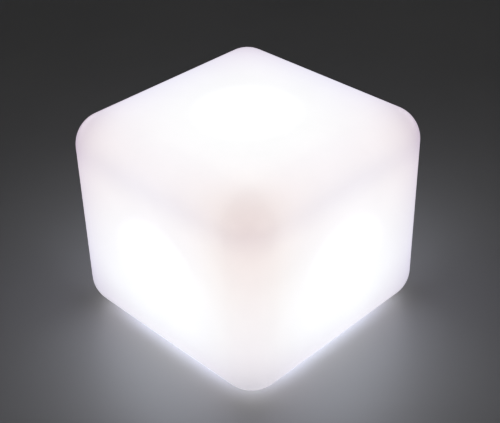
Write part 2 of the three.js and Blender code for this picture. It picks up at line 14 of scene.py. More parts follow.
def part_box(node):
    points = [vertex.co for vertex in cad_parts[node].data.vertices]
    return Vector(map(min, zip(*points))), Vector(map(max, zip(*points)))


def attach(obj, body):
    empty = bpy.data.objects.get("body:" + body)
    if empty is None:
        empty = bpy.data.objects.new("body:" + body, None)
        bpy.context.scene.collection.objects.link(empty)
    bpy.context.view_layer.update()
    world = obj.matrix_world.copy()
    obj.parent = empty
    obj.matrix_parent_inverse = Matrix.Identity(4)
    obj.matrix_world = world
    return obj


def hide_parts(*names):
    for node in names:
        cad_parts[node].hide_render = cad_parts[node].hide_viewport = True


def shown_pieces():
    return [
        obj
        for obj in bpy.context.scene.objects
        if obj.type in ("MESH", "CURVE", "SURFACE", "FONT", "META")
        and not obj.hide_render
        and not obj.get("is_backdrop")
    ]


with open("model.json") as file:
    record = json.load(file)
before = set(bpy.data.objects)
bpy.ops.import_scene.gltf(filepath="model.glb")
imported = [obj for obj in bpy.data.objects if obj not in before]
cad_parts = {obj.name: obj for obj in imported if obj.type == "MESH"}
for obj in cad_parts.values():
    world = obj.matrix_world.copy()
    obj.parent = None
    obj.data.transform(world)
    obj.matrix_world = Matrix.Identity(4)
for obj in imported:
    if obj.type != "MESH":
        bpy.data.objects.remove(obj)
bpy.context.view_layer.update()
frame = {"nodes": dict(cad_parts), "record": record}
NODES = frame["nodes"]
SLOTS = {part["node"]: part["material_slot"] for part in frame["record"]["subparts"]}
MM = 0.001
scene = bpy.context.scene

# ------------------------------------------------------------------ shared sizes, millimetres
shell_min, shell_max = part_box("shell")
HALF = (shell_max.x - shell_min.x) / 2 / MM
SHELL_LOW, SHELL_HIGH = shell_min.z / MM, shell_max.z / MM
MID, HALF_HEIGHT = (SHELL_LOW + SHELL_HIGH) / 2, (SHELL_HIGH - SHELL_LOW) / 2
EDGE_R = 13.0
WALL = 2.6

CONTROL_X = 10.5  # button at -X, jack at +X
BOARD_R = 20.4  # control board and battery tray
BOARD_TOP = 13.25  # upper face of the control board
CHIP_Y = 3.5
TRAY_LOW = 16.4
CELL_Z = 26.2  # the battery cell's axis, which runs along X
CUP_R, CUP_RIM = 22.6, 35.4
LED_LOW, LED_TOP = 37.25, 38.25  # the LED board
LED_RING_R = 8.5
FLANGE_LOW, FLANGE_TOP = 37.85, 39.05  # the dome's flange
DECK_SCREW_Y = 18.4
HARNESS_Y = -13.6


def polar(radius, degrees):
    angle = math.radians(degrees)
    return (radius * math.cos(angle), radius * math.sin(angle))


def tray_posts(side):
    """The two tray screw places on the -Y or +Y side."""
    return [(x, side * 13) for x in (-11, 11)]


NECK_SCREWS = [polar(31.0, 45 + 90 * k) for k in range(4)]
FEET = [polar(23.2, 45 + 90 * k) for k in range(4)]
BOARD_SCREWS = [polar(12.2, degrees) for degrees in (30, 210)]
LEDS = [polar(LED_RING_R, 60 * k) for k in range(6)]


# ------------------------------------------------------------------ node helpers
class Value:
    """An output socket. Each operator on it adds one Math node."""

    def __init__(self, shader, socket):
        self.shader, self.socket = shader, socket

    def __add__(self, other):
        return self.shader.math("ADD", self, other)

    def __sub__(self, other):
        return self.shader.math("SUBTRACT", self, other)

    def __rsub__(self, other):
        return self.shader.math("SUBTRACT", other, self)

    def __mul__(self, other):
        return self.shader.math("MULTIPLY", self, other)

    def __truediv__(self, other):
        return self.shader.math("DIVIDE", self, other)

    def __gt__(self, other):
        return self.shader.math("GREATER_THAN", self, other)

    def __lt__(self, other):
        return self.shader.math("LESS_THAN", self, other)

    def __abs__(self):
        return self.shader.math("ABSOLUTE", self)


MATERIALS = {}


class Shader:
    """A material's node tree. point is the object coordinate, the default place for textures."""

    def __init__(self, name):
        self.name = name
        self.material = bpy.data.materials.new(name)
        self.material.use_nodes = True
        self.tree = self.material.node_tree
        self.tree.nodes.clear()
        self.out = self.new("ShaderNodeOutputMaterial")
        self.point = Value(self, self.new("ShaderNodeTexCoord").outputs["Object"])

    def new(self, kind, **settings):
        node = self.tree.nodes.new(kind)
        for key, setting in settings.items():
            setattr(node, key, setting)
        return node

    def put(self, socket, value):
        if isinstance(value, Value):
            value = value.socket
        if value is None:
            return
        if isinstance(value, bpy.types.NodeSocket):
            self.tree.links.new(value, socket)
        elif isinstance(value, tuple) and len(value) == 3 and socket.type == "RGBA":
            socket.default_value = (*value, 1.0)
        else:
            socket.default_value = value

    def math(self, operation, first, second=None):
        node = self.new("ShaderNodeMath", operation=operation)
        self.put(node.inputs[0], first)
        self.put(node.inputs[1], second)
        return Value(self, node.outputs[0])

    def vec(self, operation, first, second=None):
        node = self.new("ShaderNodeVectorMath", operation=operation)
        self.put(node.inputs[0], first)
        self.put(node.inputs[3 if operation == "SCALE" else 1], second)
        return Value(self, node.outputs["Value" if operation == "DOT_PRODUCT" else "Vector"])

    def split(self, vector=None):
        node = self.new("ShaderNodeSeparateXYZ")
        self.put(node.inputs[0], vector or self.point)
        return [Value(self, socket) for socket in node.outputs]

    def join(self, x, y, z):
        node = self.new("ShaderNodeCombineXYZ")
        for i, value in enumerate((x, y, z)):
            self.put(node.inputs[i], value)
        return Value(self, node.outputs[0])

    def length(self, x, y):
        return self.math("SQRT", x * x + y * y)

    def noise(self, scale, detail=2.0, rough=0.5, at=None):
        node = self.new("ShaderNodeTexNoise")
        self.put(node.inputs["Vector"], at or self.point)
        node.inputs["Scale"].default_value = scale
        node.inputs["Detail"].default_value = detail
        node.inputs["Roughness"].default_value = rough
        return Value(self, node.outputs["Fac"])

    def voronoi(self, scale, at=None, out="Distance"):
        node = self.new("ShaderNodeTexVoronoi")
        self.put(node.inputs["Vector"], at or self.point)
        node.inputs["Scale"].default_value = scale
        return Value(self, node.outputs[out])

    def remap(self, value, span=(0.3, 0.7), to=(0.0, 1.0), smooth=False):
        """Maps span onto to. The default span is where most of a noise lies."""
        node = self.new("ShaderNodeMapRange")
        if smooth:
            node.interpolation_type = "SMOOTHSTEP"
        self.put(node.inputs[0], value)
        for i, limit in enumerate((*span, *to)):
            node.inputs[i + 1].default_value = limit
        return Value(self, node.outputs[0])

    def mix(self, factor, first, second):
        node = self.new("ShaderNodeMix", data_type="RGBA")
        self.put(node.inputs[0], factor)
        self.put(node.inputs[6], first)
        self.put(node.inputs[7], second)
        return Value(self, node.outputs[2])

    def bump(self, height, strength, distance, below=None):
        node = self.new("ShaderNodeBump")
        node.inputs["Strength"].default_value = strength
        node.inputs["Distance"].default_value = distance
        self.put(node.inputs["Height"], height)
        self.put(node.inputs["Normal"], below)
        return Value(self, node.outputs[0])

    def principled(self, **inputs):
        node = self.new("ShaderNodeBsdfPrincipled")
        for key, value in inputs.items():
            self.put(node.inputs[key.replace("_", " ")], value)
        return node.outputs[0]

    def surface(self, **inputs):
        """Finishes the material and files it under its name in MATERIALS."""
        self.put(self.out.inputs[0], self.principled(**inputs))
        MATERIALS[self.name] = self.material


# ------------------------------------------------------------------ materials
# Painted glow: a base colour plus these colours, each times its term in shell_polyethylene().
PAINTED_GLOW_BASE = (0.9918, 1.0406, 0.9509)
PAINTED_GLOW = {
    "distance": (-0.1573, -0.1907, -0.0323),
    "height": (-0.1790, -0.2131, -0.1408),
    "far": (-0.2199, -0.1570, -0.2597),
    "distance_height": (0.1013, 0.0847, 0.0156),
    "facing2": (0.2641, 0.2557, 0.0280),
    "facing4": (-0.0977, -0.1097, 0.0081),
    "near": (9.5, 10.0, 12.0),
    "height2": (0.0225, 0.0002, -0.1310),
    "height3": (0.0942, 0.1675, 0.2684),
    "diagonal": (-0.0094, -0.0442, -0.2049),
    "far_height": (-0.1026, -0.1689, -0.0765),
    "top_edge": (-0.2756, -0.2775, -0.2255),
    "below_edge": (-0.0740, -0.0708, -0.0498),
    "upright_edge": (-0.1842, -0.1910, -0.0690),
}
# painted extra glow on the shell's underside round the mouth
PAINTED_UNDERSIDE_GLOW = (0.80, 0.86, 1.07)


# coordinates for the shell's painted glow
def painted_glow_shape(mat):
    """distance: squared distance from the shell's middle in half sides, 1 at a face's middle and
    about 2.4 at a corner. height: -1 to 1. facing: how squarely the wall faces the eye."""
    x, y, z = mat.split()
    x = x / (HALF * MM)
    y = y / (HALF * MM)
    height = (z - MID * MM) / (HALF_HEIGHT * MM)
    distance = x * x + y * y + height * height
    place = mat.join(x, y, height)
    size = mat.vec("ABSOLUTE", place)
    cubed = mat.vec("MULTIPLY", mat.vec("MULTIPLY", place, size), mat.vec("MULTIPLY", size, size))
    turn = mat.new(
        "ShaderNodeVectorTransform", vector_type="VECTOR", convert_from="OBJECT", convert_to="WORLD"
    )
    mat.put(turn.inputs[0], mat.vec("NORMALIZE", cubed))
    eye = mat.new("ShaderNodeNewGeometry").outputs["Incoming"]
    return distance, height, mat.vec("DOT_PRODUCT", turn.outputs[0], eye)


def eighth_power(value):
    for _ in range(3):
        value = value * value
    return value


def shell_polyethylene():
    """Satin, translucent polyethylene with a painted glow: emission on the wall stands in for the
    light engine shining through it from inside. The painted glow is brightest nearest to the light
    engine and dims towards the edges and corners. Where the wall faces the eye, the painted glow is
    a little warmer: a painted tint that follows the view."""
    mat = Shader("shell_polyethylene")
    distance, height, facing = painted_glow_shape(mat)
    far = mat.math("MAXIMUM", distance - 1.8, 0.0)
    far = far * far
    facing = mat.math("MAXIMUM", facing, 0.0)
    facing2 = facing * facing
    # painted hot spot at each face's middle, bright enough to light the floor
    near = mat.math("MAXIMUM", 1.22 - distance, 0.0)
    height2 = height * height
    x, y, z = mat.split()
    diagonal = x * y / (HALF * MM) ** 2

    # painted shade along the rounded edges, where light would run the long way through the bend
    # of the wall
    side_x = eighth_power(x / (HALF * MM))
    side_y = eighth_power(y / (HALF * MM))
    side = side_x + side_y
    dip = (height - 0.72) / 0.16
    terms = {
        "distance": distance,
        "height": height,
        "far": far,
        "distance_height": distance * height,
        "facing2": facing2,
        "facing4": facing2 * facing2,
        "near": near * near,
        "height2": height2,
        "height3": height2 * height,
        "diagonal": diagonal * diagonal,
        "far_height": far * height,
        "top_edge": side * eighth_power(mat.math("MAXIMUM", height, 0.0)),
        "below_edge": side * mat.math("EXPONENT", dip * dip * -1.0),
        "upright_edge": side_x * side_y,
    }
    light = PAINTED_GLOW_BASE
    for key, term in terms.items():
        light = mat.vec("ADD", light, mat.vec("SCALE", PAINTED_GLOW[key], term))

    # cloudiness of a rotational moulding: slow drifts of wall thickness and a faint powder grain,
    # which mottle the painted glow
    cloud = mat.noise(scale=42.0, detail=3.0, rough=0.55)
    grain = mat.noise(scale=620.0, rough=0.6)
    level = mat.remap(cloud, to=(0.990, 1.010)) + mat.remap(grain, to=(-0.005, 0.005))
    # painted shade: the painted glow is dimmed over the thick pad round the mouth, which would
    # let less light through
    radius = mat.length(x, y)
    pad = mat.remap(radius, span=(0.036, 0.041), to=(1.0, 0.0), smooth=True)
    pad = pad * mat.remap(z, span=(0.0094, 0.0110), to=(1.0, 0.0), smooth=True)
    level = level * (1.0 - pad * 0.35)
    light = mat.vec("MAXIMUM", mat.vec("SCALE", light, level), (0.0, 0.0, 0.0))
    # painted glow: the underside, next to the light engine, glows brighter,
    # which throws a bright rim of light on the floor
    painted_underside_band = mat.remap(z, span=(0.0046, 0.0008), smooth=True)
    painted_underside_band = painted_underside_band * mat.remap(radius, span=(0.034, 0.040), smooth=True)
    painted_underside_band = painted_underside_band * mat.remap(abs(diagonal), span=(0.30, 0.70), to=(1.0, 0.15), smooth=True)
    light = mat.vec("ADD", light, mat.vec("SCALE", PAINTED_UNDERSIDE_GLOW, painted_underside_band))

    peel = mat.noise(scale=900.0)
    wave = mat.bump(mat.noise(scale=70.0), strength=0.2, distance=0.0004)
    tint = mat.remap(cloud, span=(0.35, 0.65))
    mat.surface(
        Base_Color=mat.mix(tint, (0.60, 0.585, 0.60), (0.66, 0.645, 0.655)),
        Roughness=mat.remap(peel, to=(0.36, 0.48)),
        IOR=1.51,
        Normal=mat.bump(peel, strength=0.25, distance=0.00006, below=wave),
        # the painted glow, emitted by the wall itself
        Emission_Color=light,
        Emission_Strength=1.0,
    )


def plastic(name, colour, dark=0.93, rough=(0.40, 0.52), grain=1400.0, depth=0.00003):
    """Moulded plastic: spark-eroded texture, slow colour drift and slightly uneven gloss."""
    mat = Shader(name)
    slow = mat.noise(scale=90.0, detail=3.0, rough=0.6)
    fine = mat.noise(scale=grain, rough=0.6)
    below = mat.bump(slow, strength=0.15, distance=0.00012)
    mat.surface(
        Base_Color=mat.mix(mat.remap(slow), tuple(c * dark for c in colour), colour),
        Roughness=mat.remap(fine, to=rough),
        IOR=1.5,
        Normal=mat.bump(fine, strength=0.35, distance=depth, below=below),
    )


def soft(name, colour, dust, rough=(0.55, 0.75), sheen=0.3, amount=0.25):
    """Silicone or rubber: matt, faintly dusty, with a fine moulded skin."""
    mat = Shader(name)
    slow = mat.noise(scale=160.0, detail=4.0, rough=0.65)
    fine = mat.noise(scale=2600.0, rough=0.6)
    below = mat.bump(slow, strength=0.2, distance=0.00008)
    mat.surface(
        Base_Color=mat.mix(mat.remap(slow, span=(0.45, 0.8), to=(0.0, amount)), colour, dust),
        Roughness=mat.remap(fine, to=rough),
        IOR=1.42,
        Sheen_Weight=sheen,
        Sheen_Roughness=0.5,
        Normal=mat.bump(fine, strength=0.4, distance=0.00002, below=below),
    )


def metal(name, colour, rough=(0.22, 0.38), turned=True):
    """Turned or rolled metal: fine tool rings, a little tarnish."""
    mat = Shader(name)
    slow = mat.noise(scale=300.0, detail=4.0, rough=0.6)
    if turned:
        x, y, z = mat.split()
        lines = mat.noise(scale=2400.0, rough=0.6, at=mat.join(x * 0.15, y * 0.15, z * 4.0))
    else:
        lines = mat.noise(scale=2400.0, detail=3.0, rough=0.7)
    tarnish = tuple(c * 0.7 for c in colour)
    mat.surface(
        Base_Color=mat.mix(mat.remap(slow, span=(0.4, 0.75)), colour, tarnish),
        Metallic=1.0,
        Roughness=mat.remap(lines, to=rough),
        Normal=mat.bump(lines, strength=0.3, distance=0.000012),
    )


def circuit_board(name, mask, copper, seed=0.0):
    """Copper tracks under solder mask, drawn as stepped cells joined by straight runs."""
    mat = Shader(name)
    x, y, z = mat.split()
    x = x + seed
    tracks_per_metre = 780.0
    across = mat.math("FRACT", x * tracks_per_metre)
    along = mat.math("FRACT", y * tracks_per_metre)
    cell = mat.voronoi(scale=330.0, at=mat.join(x * 1.0, y * 0.35, 0.0), out="Color")
    pick = mat.split(cell)[0] > 0.5
    stripe = pick * across + (1.0 - pick) * along
    track = (stripe > 0.28) * (stripe < 0.62)
    pour = mat.noise(scale=150.0, detail=0.0) > 0.52
    track = mat.math("MAXIMUM", track, pour)
    via = mat.voronoi(scale=420.0, at=mat.join(x, y, 0.0)) < 0.13
    fine = mat.noise(scale=3000.0, rough=0.6)
    mat.surface(
        Base_Color=mat.mix(via, mat.mix(track, mask, copper), (0.62, 0.52, 0.30)),
        Roughness=mat.remap(fine, to=(0.24, 0.36)),
        Coat_Weight=0.35,
        Coat_Roughness=0.15,
        Normal=mat.bump(track + via * -1.2, strength=0.35, distance=0.00003),
    )


def dome_frosted():
    """Frosted dome with a painted glow: six soft painted hot spots on a ring that melt together
    towards the crown, and a dimmer flange.
    """
    mat = Shader("dome_frosted")
    x, y, z = mat.split()
    ring = mat.length(x, y) - 0.0095
    six = mat.math("COSINE", mat.math("ARCTAN2", y, x) * 6.0)
    ring = mat.math("EXPONENT", ring * (ring * -1.0) / 0.0000160)
    spot = ring * mat.remap(six, span=(-1.0, 1.0), to=(0.35, 1.0), smooth=True)
    crown = mat.remap(z, span=(0.0385, 0.0515), to=(0.26, 0.52), smooth=True)
    fine = mat.noise(scale=1500.0, detail=3.0, rough=0.7)
    flange = mat.remap(z, span=(0.0389, 0.0398), to=(0.28, 1.0), smooth=True)
    # painted glow standing in for the LEDs' light through the dome
    glow = (crown + spot * 0.34) * mat.remap(fine, to=(0.97, 1.03)) * flange
    mat.surface(
        Base_Color=(0.74, 0.75, 0.77),
        Roughness=mat.remap(fine, to=(0.38, 0.5)),
        IOR=1.58,
        Normal=mat.bump(fine, strength=0.3, distance=0.00003),
        Emission_Color=mat.vec("SCALE", (0.98, 0.975, 1.0), glow),
        Emission_Strength=1.0,
    )


def led_package():
    """Pale ceramic frame round a glowing yellow phosphor window."""
    mat = Shader("led_package")
    x, y, z = mat.split()
    # the nearest LED's own centre on the ring
    angle = mat.math("ROUND", mat.math("ARCTAN2", y, x) / (math.pi / 3)) * (math.pi / 3)
    off_x = x - mat.math("COSINE", angle) * (LED_RING_R * MM)
    off_y = y - mat.math("SINE", angle) * (LED_RING_R * MM)
    radius = mat.length(off_x, off_y)
    window = mat.remap(radius, span=(0.00165, 0.0018), to=(1.0, 0.0), smooth=True)
    fine = mat.noise(scale=5000.0, detail=3.0, rough=0.7)
    glow = window * mat.remap(fine, to=(1.5, 2.1))
    mat.surface(
        Base_Color=mat.mix(window, (0.86, 0.85, 0.80), (0.93, 0.80, 0.30)),
        Roughness=mat.remap(fine, to=(0.25, 0.4)),
        Emission_Color=mat.vec("SCALE", (1.0, 0.97, 0.88), glow),
        Emission_Strength=1.0,
        Normal=mat.bump(fine, strength=0.2, distance=0.00002),
    )


def chip_leads():
    """Black epoxy body with tinned leads down both long sides."""
    mat = Shader("chip_leads")
    x, y, z = mat.split()
    lead = abs(y - CHIP_Y * MM) > 0.001955
    fine = mat.noise(scale=3000.0, detail=3.0, rough=0.6)
    epoxy = mat.mix(fine, (0.016, 0.016, 0.018), (0.034, 0.034, 0.038))
    mat.surface(
        Base_Color=mat.mix(lead, epoxy, (0.70, 0.70, 0.68)),
        Metallic=lead,
        Roughness=mat.remap(fine, to=(0.36, 0.58)),
        Normal=mat.bump(fine, strength=0.3, distance=0.00003),
    )


def cell_sleeve():
    """Shrink sleeve over a steel can: glossy, with wrinkles at the ends and bare metal caps."""
    mat = Shader("cell_sleeve")
    x, y, z = mat.split()
    end = mat.remap(abs(x), span=(0.0150, 0.0160), smooth=True)
    z = z - CELL_Z * MM
    bare = (abs(x) > 0.01605) * (mat.length(y, z) < 0.0066)
    unrolled = mat.join(mat.math("ARCTAN2", z, y) * 2.2, x * 60.0, 0.0)
    wrinkle = mat.noise(scale=6.0, detail=3.0, rough=0.6, at=unrolled)
    blue = mat.mix(mat.noise(scale=90.0, detail=3.0), (0.045, 0.17, 0.42), (0.07, 0.24, 0.52))
    mat.surface(
        Base_Color=mat.mix(bare, blue, (0.62, 0.62, 0.60)),
        Metallic=bare,
        Roughness=mat.remap(wrinkle, to=(0.2, 0.34)),
        Coat_Weight=0.3,
        Normal=mat.bump(wrinkle * end, strength=0.6, distance=0.0002),
    )


def foam():
    """Dark foam with open pores."""
    mat = Shader("foam")
    pores = mat.voronoi(scale=2600.0)
    shade_in_pores = mat.remap(pores, span=(0.1, 0.5))
    mat.surface(
        Base_Color=mat.mix(shade_in_pores, (0.015, 0.015, 0.017), (0.075, 0.077, 0.082)),
        Roughness=0.95,
        Normal=mat.bump(pores, strength=0.9, distance=0.0002),
    )


def floor_material():
    """Plain pale floor with a satin top coat. It is clear from below, so that views of the
    underside are not blocked, and it casts no shadow."""
    mat = Shader("floor")
    drift = mat.remap(mat.noise(scale=9.0, detail=3.0), span=(0.35, 0.65))
    fine = mat.noise(scale=700.0, detail=3.0, rough=0.6)
    coat = mat.principled(
        Base_Color=mat.mix(drift, (0.455, 0.468, 0.515), (0.485, 0.498, 0.545)),
        Roughness=mat.remap(fine, to=(0.40, 0.48)),
        IOR=2.1,
        Specular_IOR_Level=0.5,
        Specular_Tint=(0.88, 0.92, 1.0),
        Normal=mat.bump(fine, strength=0.15, distance=0.00005),
    )
    behind = mat.new("ShaderNodeNewGeometry").outputs["Backfacing"]
    shadow = mat.new("ShaderNodeLightPath").outputs["Is Shadow Ray"]
    choice = mat.new("ShaderNodeMixShader")
    mat.put(choice.inputs[0], mat.math("MAXIMUM", behind, shadow))
    mat.put(choice.inputs[1], coat)
    mat.put(choice.inputs[2], mat.new("ShaderNodeBsdfTransparent").outputs[0])
    mat.put(mat.out.inputs[0], choice.outputs[0])
    return mat.material


shell_polyethylene()
plastic("abs_white", (0.80, 0.80, 0.775), dark=0.95)
soft("silicone_grey", (0.56, 0.59, 0.61), dust=(0.66, 0.66, 0.66), rough=(0.35, 0.5), sheen=0.15)
soft("rubber_black", (0.022, 0.022, 0.024), dust=(0.16, 0.16, 0.16), amount=0.3)
soft("silicone_button", (0.36, 0.42, 0.48), dust=(0.55, 0.57, 0.6), rough=(0.4, 0.55), sheen=0.2)
metal("steel", (0.74, 0.75, 0.77), rough=(0.30, 0.46))
metal("brass", (0.78, 0.58, 0.27))
circuit_board("board_green", mask=(0.008, 0.085, 0.034), copper=(0.04, 0.27, 0.095))
circuit_board("board_white", mask=(0.80, 0.81, 0.79), copper=(0.88, 0.88, 0.85), seed=0.3)
plastic("chip_black", (0.022, 0.022, 0.025), dark=0.7, rough=(0.5, 0.65), grain=3000.0)
chip_leads()
metal("tin", (0.72, 0.71, 0.69), rough=(0.3, 0.5), turned=False)
plastic("ceramic_tan", (0.34, 0.24, 0.15), dark=0.8, rough=(0.4, 0.55), grain=3000.0)
plastic("connector_white", (0.78, 0.76, 0.69), rough=(0.35, 0.5))
cell_sleeve()
plastic("ferrite", (0.075, 0.076, 0.08), dark=0.7, rough=(0.55, 0.75), grain=2200.0, depth=0.00006)
foam()
plastic("wire_red", (0.50, 0.025, 0.018), dark=0.85, rough=(0.3, 0.42))
plastic("wire_black", (0.014, 0.014, 0.016), dark=0.8, rough=(0.32, 0.45))
plastic("harness_grey", (0.60, 0.60, 0.58), dark=0.9, rough=(0.35, 0.5))
dome_frosted()
led_package()


# ------------------------------------------------------------------ solids
# A shape is (verts, faces) in millimetres. A profile is a closed list of (r, z) or
# (r, z, fillet) points, and an outline is a function from an inset to a loop of (x, y) points.
def rounded_box(half, low, high, radius, arc, flat):
    """Box with a square plan: flats and true fillets in one grid of quads per face."""
    size = np.array([half, half, (high - low) / 2])
    middle = np.array([0, 0, (low + high) / 2])
    core = size - radius

    def ticks(axis):
        bend = radius * np.tan(np.linspace(0, math.pi / 4, arc + 1))
        inner = np.linspace(-core[axis], core[axis], flat + 1)
        return np.concatenate([-core[axis] - bend[:0:-1], inner, core[axis] + bend[1:]])

    verts, faces = [], []
    for axis in range(3):
        second, third = (axis + 1) % 3, (axis + 2) % 3
        rows, columns = ticks(second), ticks(third)
        count = len(columns)
        for side in (-1, 1):
            start = len(verts)
            for row in rows:
                for column in columns:
                    point = np.zeros(3)
                    point[axis], point[second], point[third] = side * size[axis], row, column
                    nearest = np.clip(point, -core, core)
                    out = point - nearest
                    verts.append(nearest + out / np.linalg.norm(out) * radius + middle)
            for i in range(len(rows) - 1):
                for j in range(count - 1):
                    here = start + i * count + j
                    face = [here, here + count, here + count + 1, here + 1]
                    faces.append(face if side > 0 else face[::-1])
    return verts, faces


def rounded(profile, steps):
    """Turns each corner that has a fillet into an arc."""
    out = []
    count = len(profile)
    for i, point in enumerate(profile):
        fillet = point[2] if len(point) > 2 else 0.0
        corner = np.array(point[:2], float)
        if fillet <= 0:
            out.append(tuple(corner))
            continue
        back = np.array(profile[(i - 1) % count][:2], float) - corner
        ahead = np.array(profile[(i + 1) % count][:2], float) - corner
        back_length, ahead_length = np.linalg.norm(back), np.linalg.norm(ahead)
        back, ahead = back / back_length, ahead / ahead_length
        angle = math.acos(max(-1, min(1, float(back @ ahead))))
        trim = min(fillet / math.tan(angle / 2), back_length * 0.49, ahead_length * 0.49)
        radius = trim * math.tan(angle / 2)
        inward = (back + ahead) / np.linalg.norm(back + ahead)
        centre = corner + inward * (radius / math.sin(angle / 2))
        start, end = corner + back * trim - centre, corner + ahead * trim - centre
        first, last = math.atan2(start[1], start[0]), math.atan2(end[1], end[0])
        sweep = (last - first + math.pi) % (2 * math.pi) - math.pi
        for step in range(steps + 1):
            turn = first + sweep * step / steps
            out.append((centre[0] + radius * math.cos(turn), centre[1] + radius * math.sin(turn)))
    return out


def lathe(profile, sides, spot=(0, 0), steps=5):
    """A profile turned about +Z. Points on the axis become one vertex."""
    verts, rings = [], []
    for radius, z in rounded(profile, steps):
        if abs(radius) < 1e-6:
            rings.append([len(verts)] * sides)
            verts.append((*spot, z))
        else:
            rings.append(list(range(len(verts), len(verts) + sides)))
            for k in range(sides):
                angle = 2 * math.pi * k / sides
                x, y = spot[0] + radius * math.cos(angle), spot[1] + radius * math.sin(angle)
                verts.append((x, y, z))
    faces = []
    for i, ring in enumerate(rings):
        after = rings[(i + 1) % len(rings)]
        for k in range(sides):
            quad = [ring[k], ring[(k + 1) % sides], after[(k + 1) % sides], after[k]]
            face = [vert for j, vert in enumerate(quad) if vert != quad[j - 1]]
            if len(set(face)) >= 3:
                faces.append(face)
    return verts, faces


def rod(radius, low, high, spot=(0, 0), sides=40):
    return lathe([(0, low), (radius, low), (radius, high), (0, high)], sides, spot)


def soft_rod(radius, low, high, spot=(0, 0), sides=48, top=0.2, bottom=None):
    """A rod with fillets at both ends, alike unless bottom is given."""
    bottom = top if bottom is None else bottom
    profile = [(0, low), (radius, low, bottom), (radius, high, top), (0, high)]
    return lathe(profile, sides, spot, 4)


def ring_tube(ring_r, z, radius, spot=(0, 0), around=144, sides=20, squash=1.0):
    """O-ring. squash scales its section's height."""
    profile = []
    for k in range(sides):
        angle = 2 * math.pi * k / sides
        profile.append(
            (ring_r + radius * math.cos(angle), z + radius * squash * math.sin(angle))
        )
    return lathe(profile, around, spot)


def loft(loops):
    """Closed skin through loops that all have as many points."""
    size = len(loops[0])
    rings = [range(i * size, (i + 1) * size) for i in range(len(loops))]
    faces = []
    for ring, after in zip(rings, rings[1:]):
        for k in range(size):
            faces.append((ring[k], ring[(k + 1) % size], after[(k + 1) % size], after[k]))
    faces += [tuple(rings[0][::-1]), tuple(rings[-1])]
    return [point for loop in loops for point in loop], faces


def levels(outline, steps):
    """Closed prism. Steps are (z, inset) from the bottom up."""
    return loft([[(x, y, z) for x, y in outline(inset)] for z, inset in steps])


def soft_ends(low, high, bottom, top):
    """Steps for levels() with rounded bottom and top edges."""
    turns = np.linspace(0, math.pi / 2, 5)
    lower = [(low + bottom - bottom * math.cos(a), bottom - bottom * math.sin(a)) for a in turns]
    return lower + [(high - top + top * math.sin(a), top - top * math.cos(a)) for a in turns]


def rect(width, depth, radius, spot=(0, 0), turn=0.0):
    """Outline of a rectangle with rounded corners."""
    cos, sin = math.cos(turn), math.sin(turn)
    steps = 5

    def outline(inset):
        half_x, half_y = width / 2 - inset, depth / 2 - inset
        corner = max(radius - inset, 0.04)
        out = []
        for i, (side_x, side_y) in enumerate(((1, 1), (-1, 1), (-1, -1), (1, -1))):
            for k in range(steps + 1):
                angle = math.pi / 2 * (i + k / steps)
                x = side_x * (half_x - corner) + corner * math.cos(angle)
                y = side_y * (half_y - corner) + corner * math.sin(angle)
                out.append((spot[0] + x * cos - y * sin, spot[1] + x * sin + y * cos))
        return out

    return outline


def chip(width, depth, low, high, spot, turn=0.0, corner=0.3, top=0.2, bottom=0.08):
    """Block with rounded upright corners and soft top and bottom edges."""
    return levels(rect(width, depth, corner, spot, turn), soft_ends(low, high, bottom, top))


def box(x_span, y_span, z_span):
    verts = [(x, y, z) for x in x_span for y in y_span for z in z_span]
    faces = [(0, 1, 3, 2), (4, 6, 7, 5), (0, 4, 5, 1), (2, 3, 7, 6), (0, 2, 6, 4), (1, 5, 7, 3)]
    return verts, faces


def along_x(shape):
    """Lays a shape made about +Z down on the battery cell's axis."""
    verts, faces = shape
    return [(z, y, CELL_Z - x) for x, y, z in verts], faces


THREAD_Z = 6.2  # where each rib starts
THREAD_LEAD = 12.0  # rise per turn
THREAD_ARC = 186.0  # degrees that each rib covers
THREAD_STEP = 3.1
THREAD_WIDE, THREAD_NARROW = 2.8, 1.0  # at the root and at the crest
THREAD_SINK = 0.9  # how far the rib is buried in the wall


def thread_rib(root, crest, start):
    """A trapezoid with a rounded crest on a right-handed helix, fading out at both ends."""
    count = round(THREAD_ARC / THREAD_STEP)
    out = 1.0 if crest > root else -1.0
    inner = root - out * THREAD_SINK
    half = THREAD_NARROW / 2
    loops = []
    for i in range(count + 1):
        along = THREAD_ARC * i / count
        fade = min(1.0, 0.12 + min(along, THREAD_ARC - along) / 22)
        fade = fade * fade * (3 - 2 * fade) * 0.35 + fade * 0.65
        angle = math.radians(start + along)
        z = THREAD_Z + THREAD_LEAD * along / 360
        rise = (crest - root) * fade
        section = [  # r, z from the rib's middle
            (inner, -THREAD_WIDE / 2),
            (root + rise * 0.86, -half - 0.16),
            (root + rise * 0.97, -half + 0.06),
            (root + rise, -half + 0.26),
            (root + rise, half - 0.26),
            (root + rise * 0.97, half - 0.06),
            (root + rise * 0.86, half + 0.16),
            (inner, THREAD_WIDE / 2),
        ]
        loops.append([(r * math.cos(angle), r * math.sin(angle), z + up) for r, up in section])
    return loft(loops)


def smooth_path(points, per_span):
    """Centripetal Catmull-Rom curve through the points."""

    def between(first, last, start, end, now):
        return (end - now) / (end - start) * first + (now - start) / (end - start) * last

    knots = [np.array(point, float) for point in points]
    knots = [2 * knots[0] - knots[1]] + knots + [2 * knots[-1] - knots[-2]]
    out = []
    for i in range(1, len(knots) - 2):
        span = knots[i - 1 : i + 3]
        times = [0.0]
        for first, last in zip(span, span[1:]):
            times.append(times[-1] + max(np.linalg.norm(last - first), 1e-6) ** 0.5)
        count = per_span + 1 if i == len(knots) - 3 else per_span
        for now in np.linspace(times[1], times[2], per_span + 1)[:count]:
            near = [between(*span[k : k + 2], *times[k : k + 2], now) for k in range(3)]
            wide = [between(*near[k : k + 2], times[k], times[k + 2], now) for k in range(2)]
            out.append(between(*wide, times[1], times[2], now))
    return out


